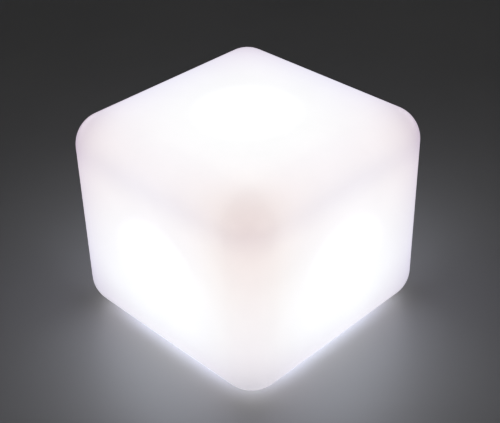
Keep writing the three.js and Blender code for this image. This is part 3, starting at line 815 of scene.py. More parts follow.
def tube(points, radius, sides=14, per_span=8):
    """Round wire along a smooth path that doesn't start along Y, with softened ends."""
    soft_end = 0.35  # share of the radius lost at the ends
    path = smooth_path(points, per_span)
    last = len(path) - 1
    along = [path[min(i + 1, last)] - path[max(i - 1, 0)] for i in range(last + 1)]
    along = [step / np.linalg.norm(step) for step in along]
    across = np.cross(along[0], (0.0, 1.0, 0.0))
    across /= np.linalg.norm(across)
    axes = []
    for step in along:
        across = across - step * (across @ step)
        across /= np.linalg.norm(across)
        axes.append((across, np.cross(step, across)))
    rows = [
        (path[0], radius * (1 - soft_end), 0),
        (path[0] + along[0] * radius * soft_end * 0.6, radius, 0),
    ]
    rows += [(path[i], radius, i) for i in range(1, last)]
    rows += [
        (path[-1] - along[-1] * radius * soft_end * 0.6, radius, last),
        (path[-1], radius * (1 - soft_end), last),
    ]
    loops = []
    for centre, size, i in rows:
        side, up = axes[i]
        turns = [2 * math.pi * k / sides for k in range(sides)]
        loops.append(
            [tuple(centre + side * size * math.cos(a) + up * size * math.sin(a)) for a in turns]
        )
    return loft(loops)


# ------------------------------------------------------------------ screws
def cross_recess(spot, opening, floor_z, half, width, turn):
    """The two arms of a cross recess, narrowing from the opening to the floor."""
    faces = [(0, 3, 2, 1), (4, 5, 6, 7), (0, 1, 5, 4), (1, 2, 6, 5), (2, 3, 7, 6), (3, 0, 4, 7)]
    arms = []
    for angle in (turn, turn + math.pi / 2):
        cos, sin = math.cos(angle), math.sin(angle)
        verts = []
        for z, size in ((opening, 1.0), (floor_z, 0.55)):
            for side_x, side_y in ((-1, -1), (1, -1), (1, 1), (-1, 1)):
                x, y = side_x * half * size, side_y * width * size
                verts.append((spot[0] + x * cos - y * sin, spot[1] + x * sin + y * cos, z))
        arms.append((verts, faces))
    return arms


def pan_screw(node, spot, turn, tip, seat, top, thread, shank, head, edge, crown, recess,
              pitch=0.62, sides=32):
    """Screw that points down. thread, shank and head are radii, edge and crown are the head's
    fillets, and recess is the cross's (depth, half length, half width)."""
    core = thread * 0.80
    profile = [(0, tip), (thread * 0.55, tip + 0.45)]
    z = tip + 0.75
    while z + pitch < seat - 0.3:
        profile += [
            (core, z),
            (core, z + pitch * 0.28),
            (thread, z + pitch * 0.5),
            (thread, z + pitch * 0.6),
            (core, z + pitch * 0.88),
        ]
        z += pitch
    profile += [(core, seat - 0.2), (shank, seat), (head, seat, edge), (head, top, crown), (0, top)]
    depth, half, width = recess
    screw = Piece(lathe(profile, sides, spot, 4))
    screw.cut(*cross_recess(spot, top + 0.2, top - depth, half, width, turn))
    screw.done(node, angle=30)


# ------------------------------------------------------------------ pieces
def solid(shape):
    """A shape as an object in metres, with its seams merged and its normals outward."""
    verts, faces = shape
    mesh = bpy.data.meshes.new("solid")
    scaled = [tuple(float(c) * MM for c in vert) for vert in verts]
    mesh.from_pydata(scaled, [], [list(map(int, face)) for face in faces])
    mesh.validate()
    edit = bmesh.new()
    edit.from_mesh(mesh)
    bmesh.ops.remove_doubles(edit, verts=edit.verts, dist=1e-7)
    bmesh.ops.recalc_face_normals(edit, faces=edit.faces)
    edit.to_mesh(mesh)
    edit.free()
    obj = bpy.data.objects.new("solid", mesh)
    scene.collection.objects.link(obj)
    return obj


def shade(obj, angle):
    mesh = obj.data
    mesh.polygons.foreach_set("use_smooth", [True] * len(mesh.polygons))
    mesh.set_sharp_from_angle(angle=math.radians(angle))


def boolean(obj, tool, operation):
    """Applies the tool to the object, then deletes the tool."""
    modifier = obj.modifiers.new("boolean", "BOOLEAN")
    modifier.operation, modifier.solver, modifier.object = operation, "MANIFOLD", tool
    graph = bpy.context.evaluated_depsgraph_get()
    graph.update()
    result = bpy.data.meshes.new_from_object(
        obj.evaluated_get(graph), preserve_all_data_layers=True, depsgraph=graph
    )
    old, tool_mesh = obj.data, tool.data
    obj.modifiers.clear()
    obj.data = result
    bpy.data.meshes.remove(old)
    bpy.data.objects.remove(tool)
    bpy.data.meshes.remove(tool_mesh)


class Piece:
    """One piece, built from shapes with booleans and then tied to its body and CAD node."""

    def __init__(self, shape):
        self.obj = solid(shape)

    def add(self, *shapes):
        for shape in shapes:
            boolean(self.obj, solid(shape), "UNION")

    def cut(self, *shapes):
        for shape in shapes:
            boolean(self.obj, solid(shape), "DIFFERENCE")

    def loose(self, *shapes):
        """Parts that only touch this one, kept as separate closed skins in the same mesh."""
        edit = bmesh.new()
        edit.from_mesh(self.obj.data)
        for verts, faces in shapes:
            made = [edit.verts.new([float(c) * MM for c in vert]) for vert in verts]
            for face in faces:
                edit.faces.new([made[i] for i in face])
        bmesh.ops.recalc_face_normals(edit, faces=edit.faces)
        edit.to_mesh(self.obj.data)
        edit.free()

    def done(self, node, body="base_unit", angle=32.0, flat=True, name=None, slot=None,
             material=None):
        """flat weights the normals towards the large faces."""
        obj, slot = self.obj, slot or SLOTS[node]
        obj.name = obj.data.name = name or node + "_piece"
        obj.data.materials.clear()
        obj.data.materials.append(MATERIALS[material or slot])
        shade(obj, angle)
        if flat:
            modifier = obj.modifiers.new("w", "WEIGHTED_NORMAL")
            modifier.keep_sharp = True
            modifier.weight = 80
        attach(obj, body)
        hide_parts(node)
        return obj


# ------------------------------------------------------------------ shell
def build_shell():
    shell = Piece(rounded_box(HALF, SHELL_LOW, SHELL_HIGH, EDGE_R, arc=10, flat=8))
    cavity = Piece(rounded_box(
        HALF - WALL, SHELL_LOW + WALL, SHELL_HIGH - WALL, EDGE_R - WALL, arc=6, flat=4))
    # the thick pad round the mouth
    below = SHELL_LOW - 3
    cavity.cut(lathe([(0, below), (38, below), (38, 9.4, 1.6), (0, 9.4)], 128))
    boolean(shell.obj, cavity.obj, "DIFFERENCE")
    shell.cut(lathe([
        (0, -5), (35.4, -5), (35.4, SHELL_LOW - 0.01), (34.9, SHELL_LOW + 0.5), (34.9, 3.8),
        (28, 3.8), (28, 9.0), (28.4, 9.5), (28.4, 14), (0, 14)], 128))
    shell.cut(*[rod(2.15, 3.0, 8.8, spot, 32) for spot in NECK_SCREWS])
    shell.done("shell", "shell", angle=30, name="shell_moulding", slot="shell_polyethylene")


# ------------------------------------------------------------------ neck ring and its fixings
def neck_ring():
    ring = Piece(lathe([
        (26.3, 1.2, 0.3), (34.6, 1.2, 0.3), (34.6, 3.0, 0.12), (27.6, 3.0, 0.25),
        (27.6, 14.2, 0.45), (24.8, 14.2, 0.25), (24.8, 4.4, 0.15), (26.3, 4.4, 0.2)], 144, steps=4))
    ring.add(*[thread_rib(24.8, 23.3, 60 + 120 * k) for k in range(3)])
    countersink = [
        (0, 0.4), (2.95, 0.4), (2.95, 1.2), (2.75, 1.32), (1.45, 2.5), (1.45, 3.6), (0, 3.6)]
    ring.cut(*[lathe(countersink, 48, spot) for spot in NECK_SCREWS])
    return ring


def neck_gasket():
    gasket = Piece(lathe([
        (28.2, 3.06, 0.16), (34.6, 3.06, 0.16), (34.6, 3.74, 0.16), (28.2, 3.74, 0.16)],
        144, steps=3))
    gasket.cut(*[rod(1.7, 2, 5, spot, 32) for spot in NECK_SCREWS])
    return gasket


def neck_insert(number, spot):
    """Threaded insert with two bands of slanting knurls, which lean opposite ways."""
    verts, faces = lathe([
        (1.32, 3.9, 0.08), (1.9, 3.9), (2.06, 4.1), (2.06, 5.5), (1.85, 5.7), (1.85, 6.3),
        (2.06, 6.5), (2.06, 8.1), (1.9, 8.4), (1.32, 8.4, 0.08)], 72, steps=3)
    knurled = []
    for x, y, z in verts:
        slant = 2.4 if z < 6 else -2.4
        groove = 0.5 + 0.5 * math.cos(24 * math.atan2(y, x) + slant * z)
        size = 1.0 - 0.055 * (math.hypot(x, y) > 1.87) * groove
        knurled.append((x * size + spot[0], y * size + spot[1], z))
    Piece((knurled, faces)).done(f"neck_insert_{number}", "shell", angle=40, flat=False)


def neck_screw(number, spot, turn):
    """Countersunk screw that points up."""
    profile = [(0, 8.2), (0.6, 7.9)]
    z = 7.6
    while z > 3.4:
        profile += [
            (0.94, z), (0.94, z - 0.16), (1.16, z - 0.3), (1.16, z - 0.36), (0.94, z - 0.5)]
        z -= 0.6
    profile += [(0.94, 3.0), (1.16, 2.62), (2.42, 1.33, 0.06), (2.30, 1.25), (0, 1.25)]
    screw = Piece(lathe(profile, 40, spot, 3))
    screw.cut(*cross_recess(spot, 1.0, 1.95, 1.5, 0.33, turn))
    screw.done(f"neck_screw_{number}", "shell", angle=30)


def build_neck():
    ring = neck_ring()
    gasket = neck_gasket()
    for k, spot in enumerate(NECK_SCREWS):
        neck_insert(k + 1, spot)
        neck_screw(k + 1, spot, math.radians(23 + 61 * k))
    ring.done("neck_ring", "shell")
    gasket.done("neck_gasket", "shell")
    Piece(ring_tube(25.15, 3.6, 0.7)).done("seal_ring", "seal", flat=False, angle=60)


# ------------------------------------------------------------------ engine cup and its feet
def pocket_outline(side):
    """A D: a circle's segment cut off by an upright chord, with rounded corners. Its arc faces
    +X or -X."""

    def outline(inset):
        radius, chord, fillet = 20.0 - inset, 3.6 + inset, max(1.6 - inset, 0.3)
        corner_x = chord + fillet
        corner_y = math.sqrt((radius - fillet) ** 2 - corner_x**2)
        reach = math.atan2(corner_y, corner_x)

        def corner(y, angle):
            return (corner_x + fillet * math.cos(angle), y + fillet * math.sin(angle))

        out = [corner(-corner_y, math.pi + (math.pi - reach) * k / 8) for k in range(9)]
        for k in range(1, 40):
            angle = -reach + 2 * reach * k / 40
            out.append((radius * math.cos(angle), radius * math.sin(angle)))
        out += [corner(corner_y, reach + (math.pi - reach) * k / 8) for k in range(9)]
        return [(-x, -y) for x, y in out] if side < 0 else out

    return outline


def engine_cup():
    cup = Piece(lathe([
        (0, 1), (25.9, 1, 0.5), (25.9, 2.8, 0.3), (24.3, 2.8, 0.12), (24.3, 4.2, 0.2),
        (CUP_R, 4.2, 0.45), (CUP_R, CUP_RIM, 0.25), (21, CUP_RIM, 0.25), (21, 8, 0.8), (0, 8)],
        144, steps=4))
    for side in (-1, 1):
        cup.add(rod(2.8, 7.5, CUP_RIM, (0, side * DECK_SCREW_Y), 48))
        cup.add(*[soft_rod(2.2, 7.5, 12, at_post, 40, 0.15, 0) for at_post in tray_posts(side)])
    # two D-shaped pockets in the underside, with a rounded mouth and roof
    pocket = [(-1.0, -0.45), (0.99, -0.45)]
    for angle in np.linspace(0.12, math.pi / 2, 5):
        pocket.append((1.45 - 0.45 * math.cos(angle), -0.45 + 0.45 * math.sin(angle)))
    for angle in np.linspace(0, math.pi / 2, 6):
        pocket.append((5.3 + 0.9 * math.sin(angle), 0.9 - 0.9 * math.cos(angle)))
    cup.cut(*[levels(pocket_outline(side), pocket) for side in (-1, 1)])
    for side in (-1, 1):
        cup.cut(rod(1.1, 24, 36.4, (0, side * DECK_SCREW_Y), 24))
        cup.cut(*[rod(1.1, 8.4, 13, at_post, 24) for at_post in tray_posts(side)])
    button_hole = [
        (0, 5.5), (4.95, 5.5), (4.95, 6.19), (4.6, 6.55, 0.1), (4.6, 9.0), (0, 9.0)]
    jack_hole = [
        (0, 5.5), (3.95, 5.5), (3.95, 6.19), (3.7, 6.45, 0.1), (3.7, 9.0), (0, 9.0)]
    cup.cut(lathe(button_hole, 56, (-CONTROL_X, 0)), lathe(jack_hole, 56, (CONTROL_X, 0)))
    cup.cut(*[rod(2.25, 0, 1.4, spot, 40) for spot in FEET])
    cup.add(*[thread_rib(CUP_R, 24.4, 120 * k) for k in range(3)])
    cup.done("engine_cup", angle=30)


def build_cup():
    engine_cup()
    foot = [
        (0, 0.12), (0.9, 0.12, 0.1), (1.15, 0.0, 0.12), (2.1, 0, 0.35), (2.1, 1.37, 0.05),
        (0, 1.37)]
    for k, spot in enumerate(FEET):
        Piece(lathe(foot, 40, spot, 4)).done(f"foot_{k + 1}", angle=50)


# ------------------------------------------------------------------ button, switch, jack, plug
def build_button():
    spot = (-CONTROL_X, 0)
    Piece(lathe([
        (0, 4.86), (1.15, 4.78, 0.4), (1.5, 4.72, 0.12), (1.55, 5.0, 0.12), (2.15, 5.0, 0.12),
        (2.2, 4.7, 0.12), (4.3, 4.7, 0.75), (4.3, 6.75, 0.12), (3.65, 6.75, 0.2),
        (3.65, 7.65, 0.2), (4.3, 7.65, 0.1), (4.3, 8.1), (5.5, 8.1, 0.15), (5.5, 8.8, 0.15),
        (1.3, 8.8, 0.15), (1.3, 9.22, 0.1), (0, 9.22)], 64, spot, 4)).done("power_button", "button")
    seal = Piece(ring_tube(4.1, 7.2, 0.38, spot, around=72, sides=14, squash=0.36 / 0.38))
    seal.done("button_seal", "button", flat=False, angle=60)

    switch = Piece(chip(6, 6, 9.9, 12, spot, corner=0.45, top=0.15, bottom=0.15))
    switch.cut(rod(1.95, 9, 11.75, spot, 40))
    for x in (-2.35, 2.35):
        for y in (-2.35, 2.35):
            switch.cut(rod(0.38, 9.7, 10.12, (spot[0] + x, y), 16))
    switch.done("switch_body")
    plunger = Piece(soft_rod(1.75, 9.28, 11.15, spot, 40, top=0.05, bottom=0.3))
    plunger.done("switch_plunger", "plunger")


def build_jack():
    spot = (CONTROL_X, 0)
    jack = Piece(lathe([(0, 6.35), (3.35, 6.35, 0.25), (3.35, 9), (0, 9)], 56, spot, 4))
    jack.add(chip(8.4, 8.4, 8.4, 12, spot, corner=0.55, bottom=0.2))
    bore = [(0, 5), (2.25, 5), (2.25, 6.35), (1.95, 6.65), (1.95, 11), (0, 11)]
    jack.cut(lathe(bore, 40, spot), rod(0.72, 10, 12.5, spot, 24))
    jack.done("charge_jack")
    pin = [(0, 7.2), (0.25, 7.2, 0.1), (0.65, 7.55, 0.15), (0.65, 11.95, 0.05), (0, 11.95)]
    Piece(lathe(pin, 28, spot, 3)).done("jack_pin")


def build_plug():
    """Plug with two ribs round its stem and a rounded finger tab with a hole through it."""
    plug = Piece(lathe([
        (0, 4.7), (4.6, 4.7, 0.5), (4.6, 6.14, 0.2), (1.78, 6.14, 0.1), (1.78, 6.95),
        (1.86, 7.2, 0.12), (1.78, 7.45), (1.78, 8.1), (1.86, 8.35, 0.12), (1.78, 8.6),
        (1.78, 9.9, 0.35), (0.85, 9.9, 0.1), (0.85, 6.4, 0.1), (0, 6.4)], 64, (CONTROL_X, 0), 4))

    def stand(shape, lift=0.0):
        """Turns a prism so that it runs along Y, and moves it under the jack."""
        verts, faces = shape
        return [(CONTROL_X + x, y, lift + z) for x, z, y in verts], faces

    def tab(inset):
        half, radius = 3.0 - inset, 1.3 - inset

        def corner(x, start):
            turns = [start + math.pi / 2 * k / 6 for k in range(7)]
            z = 1.9 + inset + radius
            return [(x + radius * math.cos(a), z + radius * math.sin(a)) for a in turns]

        right, left = corner(half - radius, -math.pi / 2), corner(-half + radius, math.pi)
        return right + [(half, 5.2), (-half, 5.2)] + left

    def hole(inset):
        turns = [2 * math.pi * k / 32 for k in range(32)]
        return [((0.8 - inset) * math.cos(a), (0.8 - inset) * math.sin(a)) for a in turns]

    plug.add(stand(levels(tab, soft_ends(-0.8, 0.8, 0.28, 0.28))))
    flared = [(-1.2, -0.2), (-0.8, -0.2), (-0.62, 0.0), (0.62, 0.0), (0.8, -0.2), (1.2, -0.2)]
    plug.cut(stand(levels(hole, flared), lift=3.3))
    plug.done("port_plug", "plug", angle=40)


# ------------------------------------------------------------------ control board
SMALL_PARTS = [  # x, y, turn in radians; every third one is large
    (13.2, 4.5, 0.2), (13.4, 7.2, 1.57), (-13.6, 6.2, 0.0), (-13.4, 3.0, 1.57),
    (3.4, 8.6, 0.0), (4.6, 4.6, 1.57), (0.4, -8.6, 0.0), (-6.4, -6.2, 1.57),
    (-9.2, -7.4, 1.57), (8.4, 9.4, 0.6), (-7.6, 9.8, 0.0), (4.4, 12.2, 0.0),
    (-3.2, -4.2, 0.0), (12.8, -6.4, 1.57), (-15.2, -4.6, 0.3),
]


def control_board():
    board = Piece(soft_rod(BOARD_R, 12.05, BOARD_TOP, sides=128, top=0.06))
    for side in (-1, 1):
        board.cut(rod(3.05, 10, 15, (0, side * DECK_SCREW_Y), 48))
        board.cut(*[rod(1.25, 10, 15, at_post, 32) for at_post in tray_posts(side)])
    small = []
    for k, (x, y, turn) in enumerate(SMALL_PARTS):
        width, depth, height = (1.7, 0.9, 0.5) if k % 3 else (2.2, 1.35, 0.95)
        small.append(chip(width, depth, BOARD_TOP + 0.02, BOARD_TOP + height, (x, y), turn,
                          corner=0.08, top=0.06, bottom=0.03))
    board.loose(*small)
    mesh = board.done("control_board").data

    # the small parts are tan, with tinned ends
    tan, tin = 1, 2
    mesh.materials.append(MATERIALS["ceramic_tan"])
    mesh.materials.append(MATERIALS["tin"])
    for face in mesh.polygons:
        centre = face.center / MM
        if centre.z <= BOARD_TOP + 0.015:
            continue
        for k, (x, y, turn) in enumerate(SMALL_PARTS):
            off_x, off_y = centre.x - x, centre.y - y
            if math.hypot(off_x, off_y) < 1.4:
                along = off_x * math.cos(turn) + off_y * math.sin(turn)
                face.material_index = tin if abs(along) > (0.72 if k % 3 else 0.98) else tan
                break


def controller_chip():
    body = Piece(chip(9.9, 3.9, BOARD_TOP + 0.12, BOARD_TOP + 1.6, (-4, CHIP_Y),
                      corner=0.12, top=0.1, bottom=0.1))
    body.cut(rod(0.32, BOARD_TOP + 1.52, BOARD_TOP + 2, (-8.2, 2.3), 20))
    for k in range(8):
        x = -4 + (k - 3.5) * 1.2
        for side in (-1, 1):
            y = CHIP_Y + side * 1.95
            near, foot, heel = y - side * 0.2, y + side * 0.5, y + side * 0.16
            width = (x - 0.2, x + 0.2)
            body.add(box(width, sorted((near, foot)), (BOARD_TOP + 0.03, BOARD_TOP + 0.17)))
            body.add(box(width, sorted((near, heel)), (BOARD_TOP + 0.08, BOARD_TOP + 0.78)))
    body.done("controller_chip", material="chip_leads")


def power_inductor():
    spot, groove, above = (6.5, -3), BOARD_TOP + 2.25, BOARD_TOP + 3
    coil = Piece(chip(5, 5, BOARD_TOP + 0.03, BOARD_TOP + 2.4, spot,
                      corner=0.95, top=0.35, bottom=0.15))
    coil.cut(lathe([(1.55, groove), (1.85, groove), (1.85, above), (1.55, above)], 48, spot))
    coil.done("power_inductor")


def harness_socket():
    socket = Piece(chip(6.2, 3.2, BOARD_TOP + 0.03, 15.6, (0, HARNESS_Y),
                        corner=0.25, top=0.12, bottom=0.05))
    socket.cut(box((-2.6, 2.6), (-14.65, -12.55), (15.35, 16.0)))
    socket.cut(box((-1.2, 1.2), (-15.5, -14.6), (14.6, 16.0)))
    socket.done("harness_socket")


# ------------------------------------------------------------------ battery
def battery_tray():
    tray = Piece(soft_rod(BOARD_R, TRAY_LOW, TRAY_LOW + 1.2, sides=128))
    for x in (-12, 12):
        cradle = rect(2.0, 16.8, 0.5, (x, 0))
        tray.add(levels(cradle, [(TRAY_LOW + 1.0, 0), (22.35, 0), (22.55, 0.15)]))
    tray.cut(along_x(rod(8.45, -30, 30, sides=96)))
    for side in (-1, 1):
        for at_post in tray_posts(side):
            tray.add(rod(2.1, BOARD_TOP + 0.05, TRAY_LOW + 0.5, at_post, 40))
            tray.cut(rod(1.25, 10, 20, at_post, 32))
        tray.cut(rod(3.05, 10, 20, (0, side * DECK_SCREW_Y), 48))
    # notches in the rim for the cell's leads, and a slot for the harness
    for side in (-1, 1):
        tray.cut(rod(1.5, 10, 20, (side * 19.2, 0), 32))
        tray.cut(box(sorted((side * 18.9, side * 25)), (-1.5, 1.5), (10, 20)))
    tray.cut(levels(rect(6.4, 2.2, 0.4, (0, HARNESS_Y)), [(10, 0), (20, 0)]))
    tray.done("battery_tray")
    for k, spot in enumerate(tray_posts(-1) + tray_posts(1), start=1):
        pan_screw(f"tray_screw_{k}", spot, turn=0.4 + 0.9 * k, tip=8.8, seat=17.65, top=18.9,
                  thread=1.0, shank=0.80, head=1.9, edge=0.1, crown=0.55, recess=(0.7, 1.15, 0.3))


def battery_cell():
    end, radius = 17.0, 8.25
    Piece(along_x(lathe([
        (0, -end), (6.3, -end), (6.6, -end + 0.12), (6.75, -end, 0.05), (radius, -end, 0.7),
        (radius, end - 1.0, 0.55), (6.9, end - 0.9, 0.2), (6.7, end - 1.1, 0.1),
        (6.1, end - 1.1, 0.1), (5.8, end - 0.9, 0.15), (3.2, end - 0.9, 0.2), (3.0, end, 0.3),
        (0, end)], 96, steps=4))).done("battery_cell", angle=35)
    pad = Piece(chip(16, 7, 34.52, 35.3, (0, 0), corner=0.8, top=0.12, bottom=0.12))
    pad.done("battery_pad")


def battery_leads():
    path = [  # x, z
        (17.35, CELL_Z), (18.5, 26.0), (19.2, 24.0), (19.25, 20), (19.2, 15.6), (18.6, 14.3),
        (16.2, BOARD_TOP + 0.75)]
    for side, node in ((1, "lead_positive"), (-1, "lead_negative")):
        wire = Piece(tube([(side * x, 0, z) for x, z in path], 0.6))
        wire.done(node, flat=False, angle=50)


# ------------------------------------------------------------------ LED deck, board and dome
def led_deck():
    seat = CUP_RIM + 0.05
    deck = Piece(lathe([
        (0, seat), (19.6, seat), (19.6, 33.4, 0.25), (20.7, 33.4, 0.25), (20.7, seat),
        (CUP_R, seat, 0.2), (CUP_R, 37.2, 0.4), (0, 37.2)], 144, steps=4))
    deck.add(*[rod(1.9, 33.4, CUP_RIM + 0.6, spot, 36) for spot in BOARD_SCREWS])
    for side in (-1, 1):
        spot = (0, side * DECK_SCREW_Y)
        deck.cut(rod(3.05, 30, seat, spot, 48), rod(1.3, 30, 40, spot, 36))
    deck.cut(*[rod(0.85, 33.8, 40, spot, 24) for spot in BOARD_SCREWS])
    deck.cut(levels(rect(5.8, 1.8, 0.4, (0, HARNESS_Y)), [(30, 0), (40, 0)]))
    deck.done("led_deck")


def led_board():
    board = Piece(soft_rod(14.3, LED_LOW, LED_TOP, sides=128, top=0.05))
    board.cut(levels(rect(5.8, 3.3, 0.4, (0, -14.35)), [(30, 0), (40, 0)]))
    board.cut(*[rod(1, 30, 40, spot, 28) for spot in BOARD_SCREWS])
    board.done("led_board")
    for i, spot in enumerate(BOARD_SCREWS):
        pan_screw(f"board_screw_{i + 1}", spot, turn=0.5 + i, tip=34.2, seat=LED_TOP + 0.05,
                  top=LED_TOP + 1.1, thread=0.75, shank=0.62, head=1.5, edge=0.08, crown=0.5,
                  recess=(0.55, 0.95, 0.25), pitch=0.5, sides=28)


def led_parts():
    base = LED_TOP + 0.03
    # the reflector cup, filled almost to the brim with phosphor gel
    gel = [
        (0, LED_TOP + 1.34), (0.9, LED_TOP + 1.32), (1.72, LED_TOP + 1.2),
        (1.95, LED_TOP + 1.6), (2.05, LED_TOP + 2), (0, LED_TOP + 2)]
    for k, spot in enumerate(LEDS):
        led = Piece(chip(5, 5, base, LED_TOP + 1.6, spot, math.pi / 3 * k,
                         corner=0.5, top=0.12, bottom=0.05))
        led.cut(lathe(gel, 40, spot))
        led.done(f"led_{k + 1}", angle=30)
    socket = Piece(chip(5, 2.1, base, LED_TOP + 2.3, (0, -11.1),
                        corner=0.2, top=0.12, bottom=0.05))
    socket.cut(box((-2.1, 2.1), (-12.4, -11.9), (LED_TOP + 0.8, LED_TOP + 2.0)))
    socket.done("led_socket")
    receiver = Piece(chip(5, 3.2, base, LED_TOP + 5.2, (0, 0.8), corner=0.45, top=0.3, bottom=0.1))
    receiver.add(lathe([
        (0, LED_TOP + 1.4), (1.6, LED_TOP + 1.4, 0.3), (1.9, LED_TOP + 3, 1.0),
        (1.6, LED_TOP + 4.4, 0.8), (0.8, LED_TOP + 5.1, 0.3), (0, LED_TOP + 5.1)], 40, (0, -0.7)))
    receiver.done("ir_receiver", angle=40)


def led_harness():
    """Ribbon of four cores, from the control board up to the LED board."""
    path = [  # y, z
        (HARNESS_Y, 15.66), (HARNESS_Y, 24), (HARNESS_Y, 34), (HARNESS_Y, LED_TOP),
        (-13.5, LED_TOP + 0.9), (-13.1, LED_TOP + 1.35), (-12.25, LED_TOP + 1.4)]
    cores = []
    for i in range(4):
        x = (i - 1.5) * 0.98
        cores.append(tube([(x, y, z) for y, z in path], 0.62, sides=12, per_span=6))
    ribbon = Piece(cores[0])
    ribbon.add(*cores[1:])
    ribbon.done("led_harness", flat=False, angle=50)


def diffuser_dome():
    radius, crown, wall = 16.0, 52.0, 1.3
    inner_r, rise = radius - wall, crown - FLANGE_TOP
    outer = [
        (radius * math.cos(a), FLANGE_TOP + rise * math.sin(a))
        for a in np.linspace(0.10, math.pi / 2, 28)]
    inner = [
        (inner_r * math.cos(a), FLANGE_TOP + (rise - wall) * math.sin(a))
        for a in np.linspace(math.pi / 2, 0.02, 28)]
    # the crowns close on the axis exactly
    outer[-1] = (0, crown)
    inner[0] = (0, crown - wall)
    flange = [
        (inner_r, FLANGE_LOW, 0.15), (20.8, FLANGE_LOW, 0.2), (20.8, FLANGE_TOP, 0.25),
        (radius + 0.35, FLANGE_TOP, 0.3)]
    dome = Piece(lathe(flange + outer + inner, 144, steps=4))
    gasket = Piece(lathe([
        (14.9, 37.24, 0.15), (20.8, 37.24, 0.15), (20.8, 37.81, 0.15), (14.9, 37.81, 0.15)],
        144, steps=3))
    screws = [(0, side * DECK_SCREW_Y) for side in (-1, 1)]
    for spot in screws:
        dome.cut(rod(1.3, 30, 42, spot, 36))
        gasket.cut(rod(1.4, 30, 42, spot, 36))
    dome.done("diffuser_dome", angle=40)
    gasket.done("dome_gasket")
    for i, spot in enumerate(screws):
        pan_screw(f"deck_screw_{i + 1}", spot, turn=0.3 + i, tip=25.5, seat=FLANGE_TOP + 0.05,
                  top=FLANGE_TOP + 1.3, thread=1.0, shank=0.82, head=1.85, edge=0.1, crown=0.6,
                  recess=(0.65, 1.15, 0.3))


build_shell()
build_neck()
build_cup()
build_button()
build_jack()
build_plug()
control_board()
controller_chip()
power_inductor()
harness_socket()
battery_tray()
battery_cell()
battery_leads()
led_deck()
led_board()
led_parts()
led_harness()
diffuser_dome()

# any CAD node that still stands for itself gets its finish here
for name, obj in NODES.items():
    obj.data.materials.clear()
    obj.data.materials.append(MATERIALS[SLOTS[name]])
    shade(obj, 28.0)

# ------------------------------------------------------------------ floor and world, metres
bpy.ops.mesh.primitive_grid_add(x_subdivisions=2, y_subdivisions=2, size=60.0)
floor = bpy.context.object
floor.name = "floor"
floor.data.materials.append(floor_material())
floor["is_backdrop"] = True

world = bpy.data.worlds.new("world")
scene.world = world
world.use_nodes = True
background = world.node_tree.nodes["Background"]
background.inputs["Color"].default_value = (1.0, 0.98, 0.90, 1.0)
background.inputs["Strength"].default_value = 0.018

# ------------------------------------------------------------------ view directions
CENTRE = Vector((0, 0, MID * MM))
AZIMUTH, ELEVATION, ROLL = math.radians(45.53), math.radians(34.24), math.radians(-1.38)
BACK = Vector((  # from the shell towards the camera
    math.sin(AZIMUTH) * math.cos(ELEVATION),
    -math.cos(AZIMUTH) * math.cos(ELEVATION),
    math.sin(ELEVATION),
))
LEVEL_RIGHT = Vector((math.cos(AZIMUTH), math.sin(AZIMUTH), 0))
LEVEL_UP = BACK.cross(LEVEL_RIGHT)
RIGHT = LEVEL_RIGHT * math.cos(ROLL) + LEVEL_UP * math.sin(ROLL)
UP = LEVEL_UP * math.cos(ROLL) - LEVEL_RIGHT * math.sin(ROLL)


# ------------------------------------------------------------------ lights
def add_light(name, kind, direction):
    light = bpy.data.lights.new(name, kind)
    obj = bpy.data.objects.new(name, light)
    scene.collection.objects.link(obj)
    obj.rotation_euler = direction.to_track_quat("-Z", "Y").to_euler()
    return obj


def area(name, place, target, width, power, colour, height=None):
    obj = add_light(name, "AREA", Vector(target) - Vector(place))
    obj.location = place
    obj.data.shape = "RECTANGLE"
    obj.data.size, obj.data.size_y = width, height or width
    obj.data.energy = power
    obj.data.color = colour
    return obj


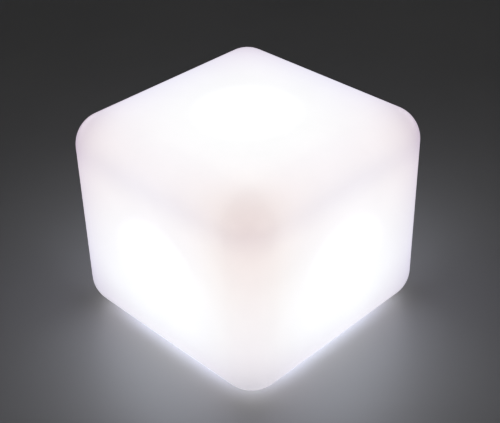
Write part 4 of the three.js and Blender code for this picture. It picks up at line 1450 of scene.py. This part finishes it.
def light_ring(prefix, group, pieces, first, distance, z, aim_z, width, power, colour):
    """Four soft boxes a quarter turn apart that light only the given pieces."""
    lit = bpy.data.collections.new(group)
    scene.collection.children.link(lit)
    for piece in pieces:
        lit.objects.link(piece)
    for degrees in range(first, 360, 90):
        angle = math.radians(degrees)
        place = (distance * math.sin(angle), -distance * math.cos(angle), z)
        light = area(f"{prefix}_{degrees}", place, (0, 0, aim_z), width, power, colour, height=0.4)
        light.light_linking.receiver_collection = lit


area("front_fill", CENTRE + BACK * 0.9 + Vector((0, 0, 0.1)), CENTRE,
     width=0.6, power=0.30, colour=(1.0, 0.95, 0.91))
# low soft boxes for the object only: on the floor they would leave bright wedges
light_ring("low", "lit_by_low_boxes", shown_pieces(), first=0, distance=1.25, z=0.22, aim_z=0.04,
           width=0.9, power=1.7, colour=(1.0, 0.985, 0.95))
# once the shell is off, four more light the engine in its shade
light_ring("engine", "lit_engine", [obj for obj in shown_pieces() if obj.name != "shell_moulding"],
           first=45, distance=1.2, z=0.16, aim_z=0.02, width=0.7, power=1.4,
           colour=(1.0, 0.99, 0.97))
sun = add_light("overhead", "SUN", Vector((-0.25, 0.45, -1.0))).data
sun.energy, sun.angle, sun.color = 0.09, 1.4, (1.0, 0.97, 0.90)
area("under_fill", (0.08, -0.08, -0.5), (0, 0, 0), width=0.4, power=0.8, colour=(1, 1, 1))

# ------------------------------------------------------------------ camera
SHELL_WIDTH = 2 * HALF * MM
# the camera's place in shell widths: back from the centre, to the right and up
CAMERA_BACK, CAMERA_RIGHT, CAMERA_UP = 4.199, 0.0025, -0.0138

camera = bpy.data.objects.new("camera", bpy.data.cameras.new("camera"))
scene.collection.objects.link(camera)
camera.data.sensor_width = 36.0
camera.data.lens = 76.2768
camera.data.clip_start, camera.data.clip_end = 0.01, 30.0
place = CENTRE + BACK * (CAMERA_BACK * SHELL_WIDTH)
place = place + RIGHT * (CAMERA_RIGHT * SHELL_WIDTH) + UP * (CAMERA_UP * SHELL_WIDTH)
rows = [(RIGHT[i], UP[i], BACK[i], 0) for i in range(3)]
camera.matrix_world = Matrix.Translation(place) @ Matrix((*rows, (0, 0, 0, 1)))
scene.camera = camera
scene.view_settings.view_transform = "Standard"
scene.view_settings.look = "None"
scene.view_settings.exposure = 0.0
scene.view_settings.gamma = 1.0

bpy.context.view_layer.update()
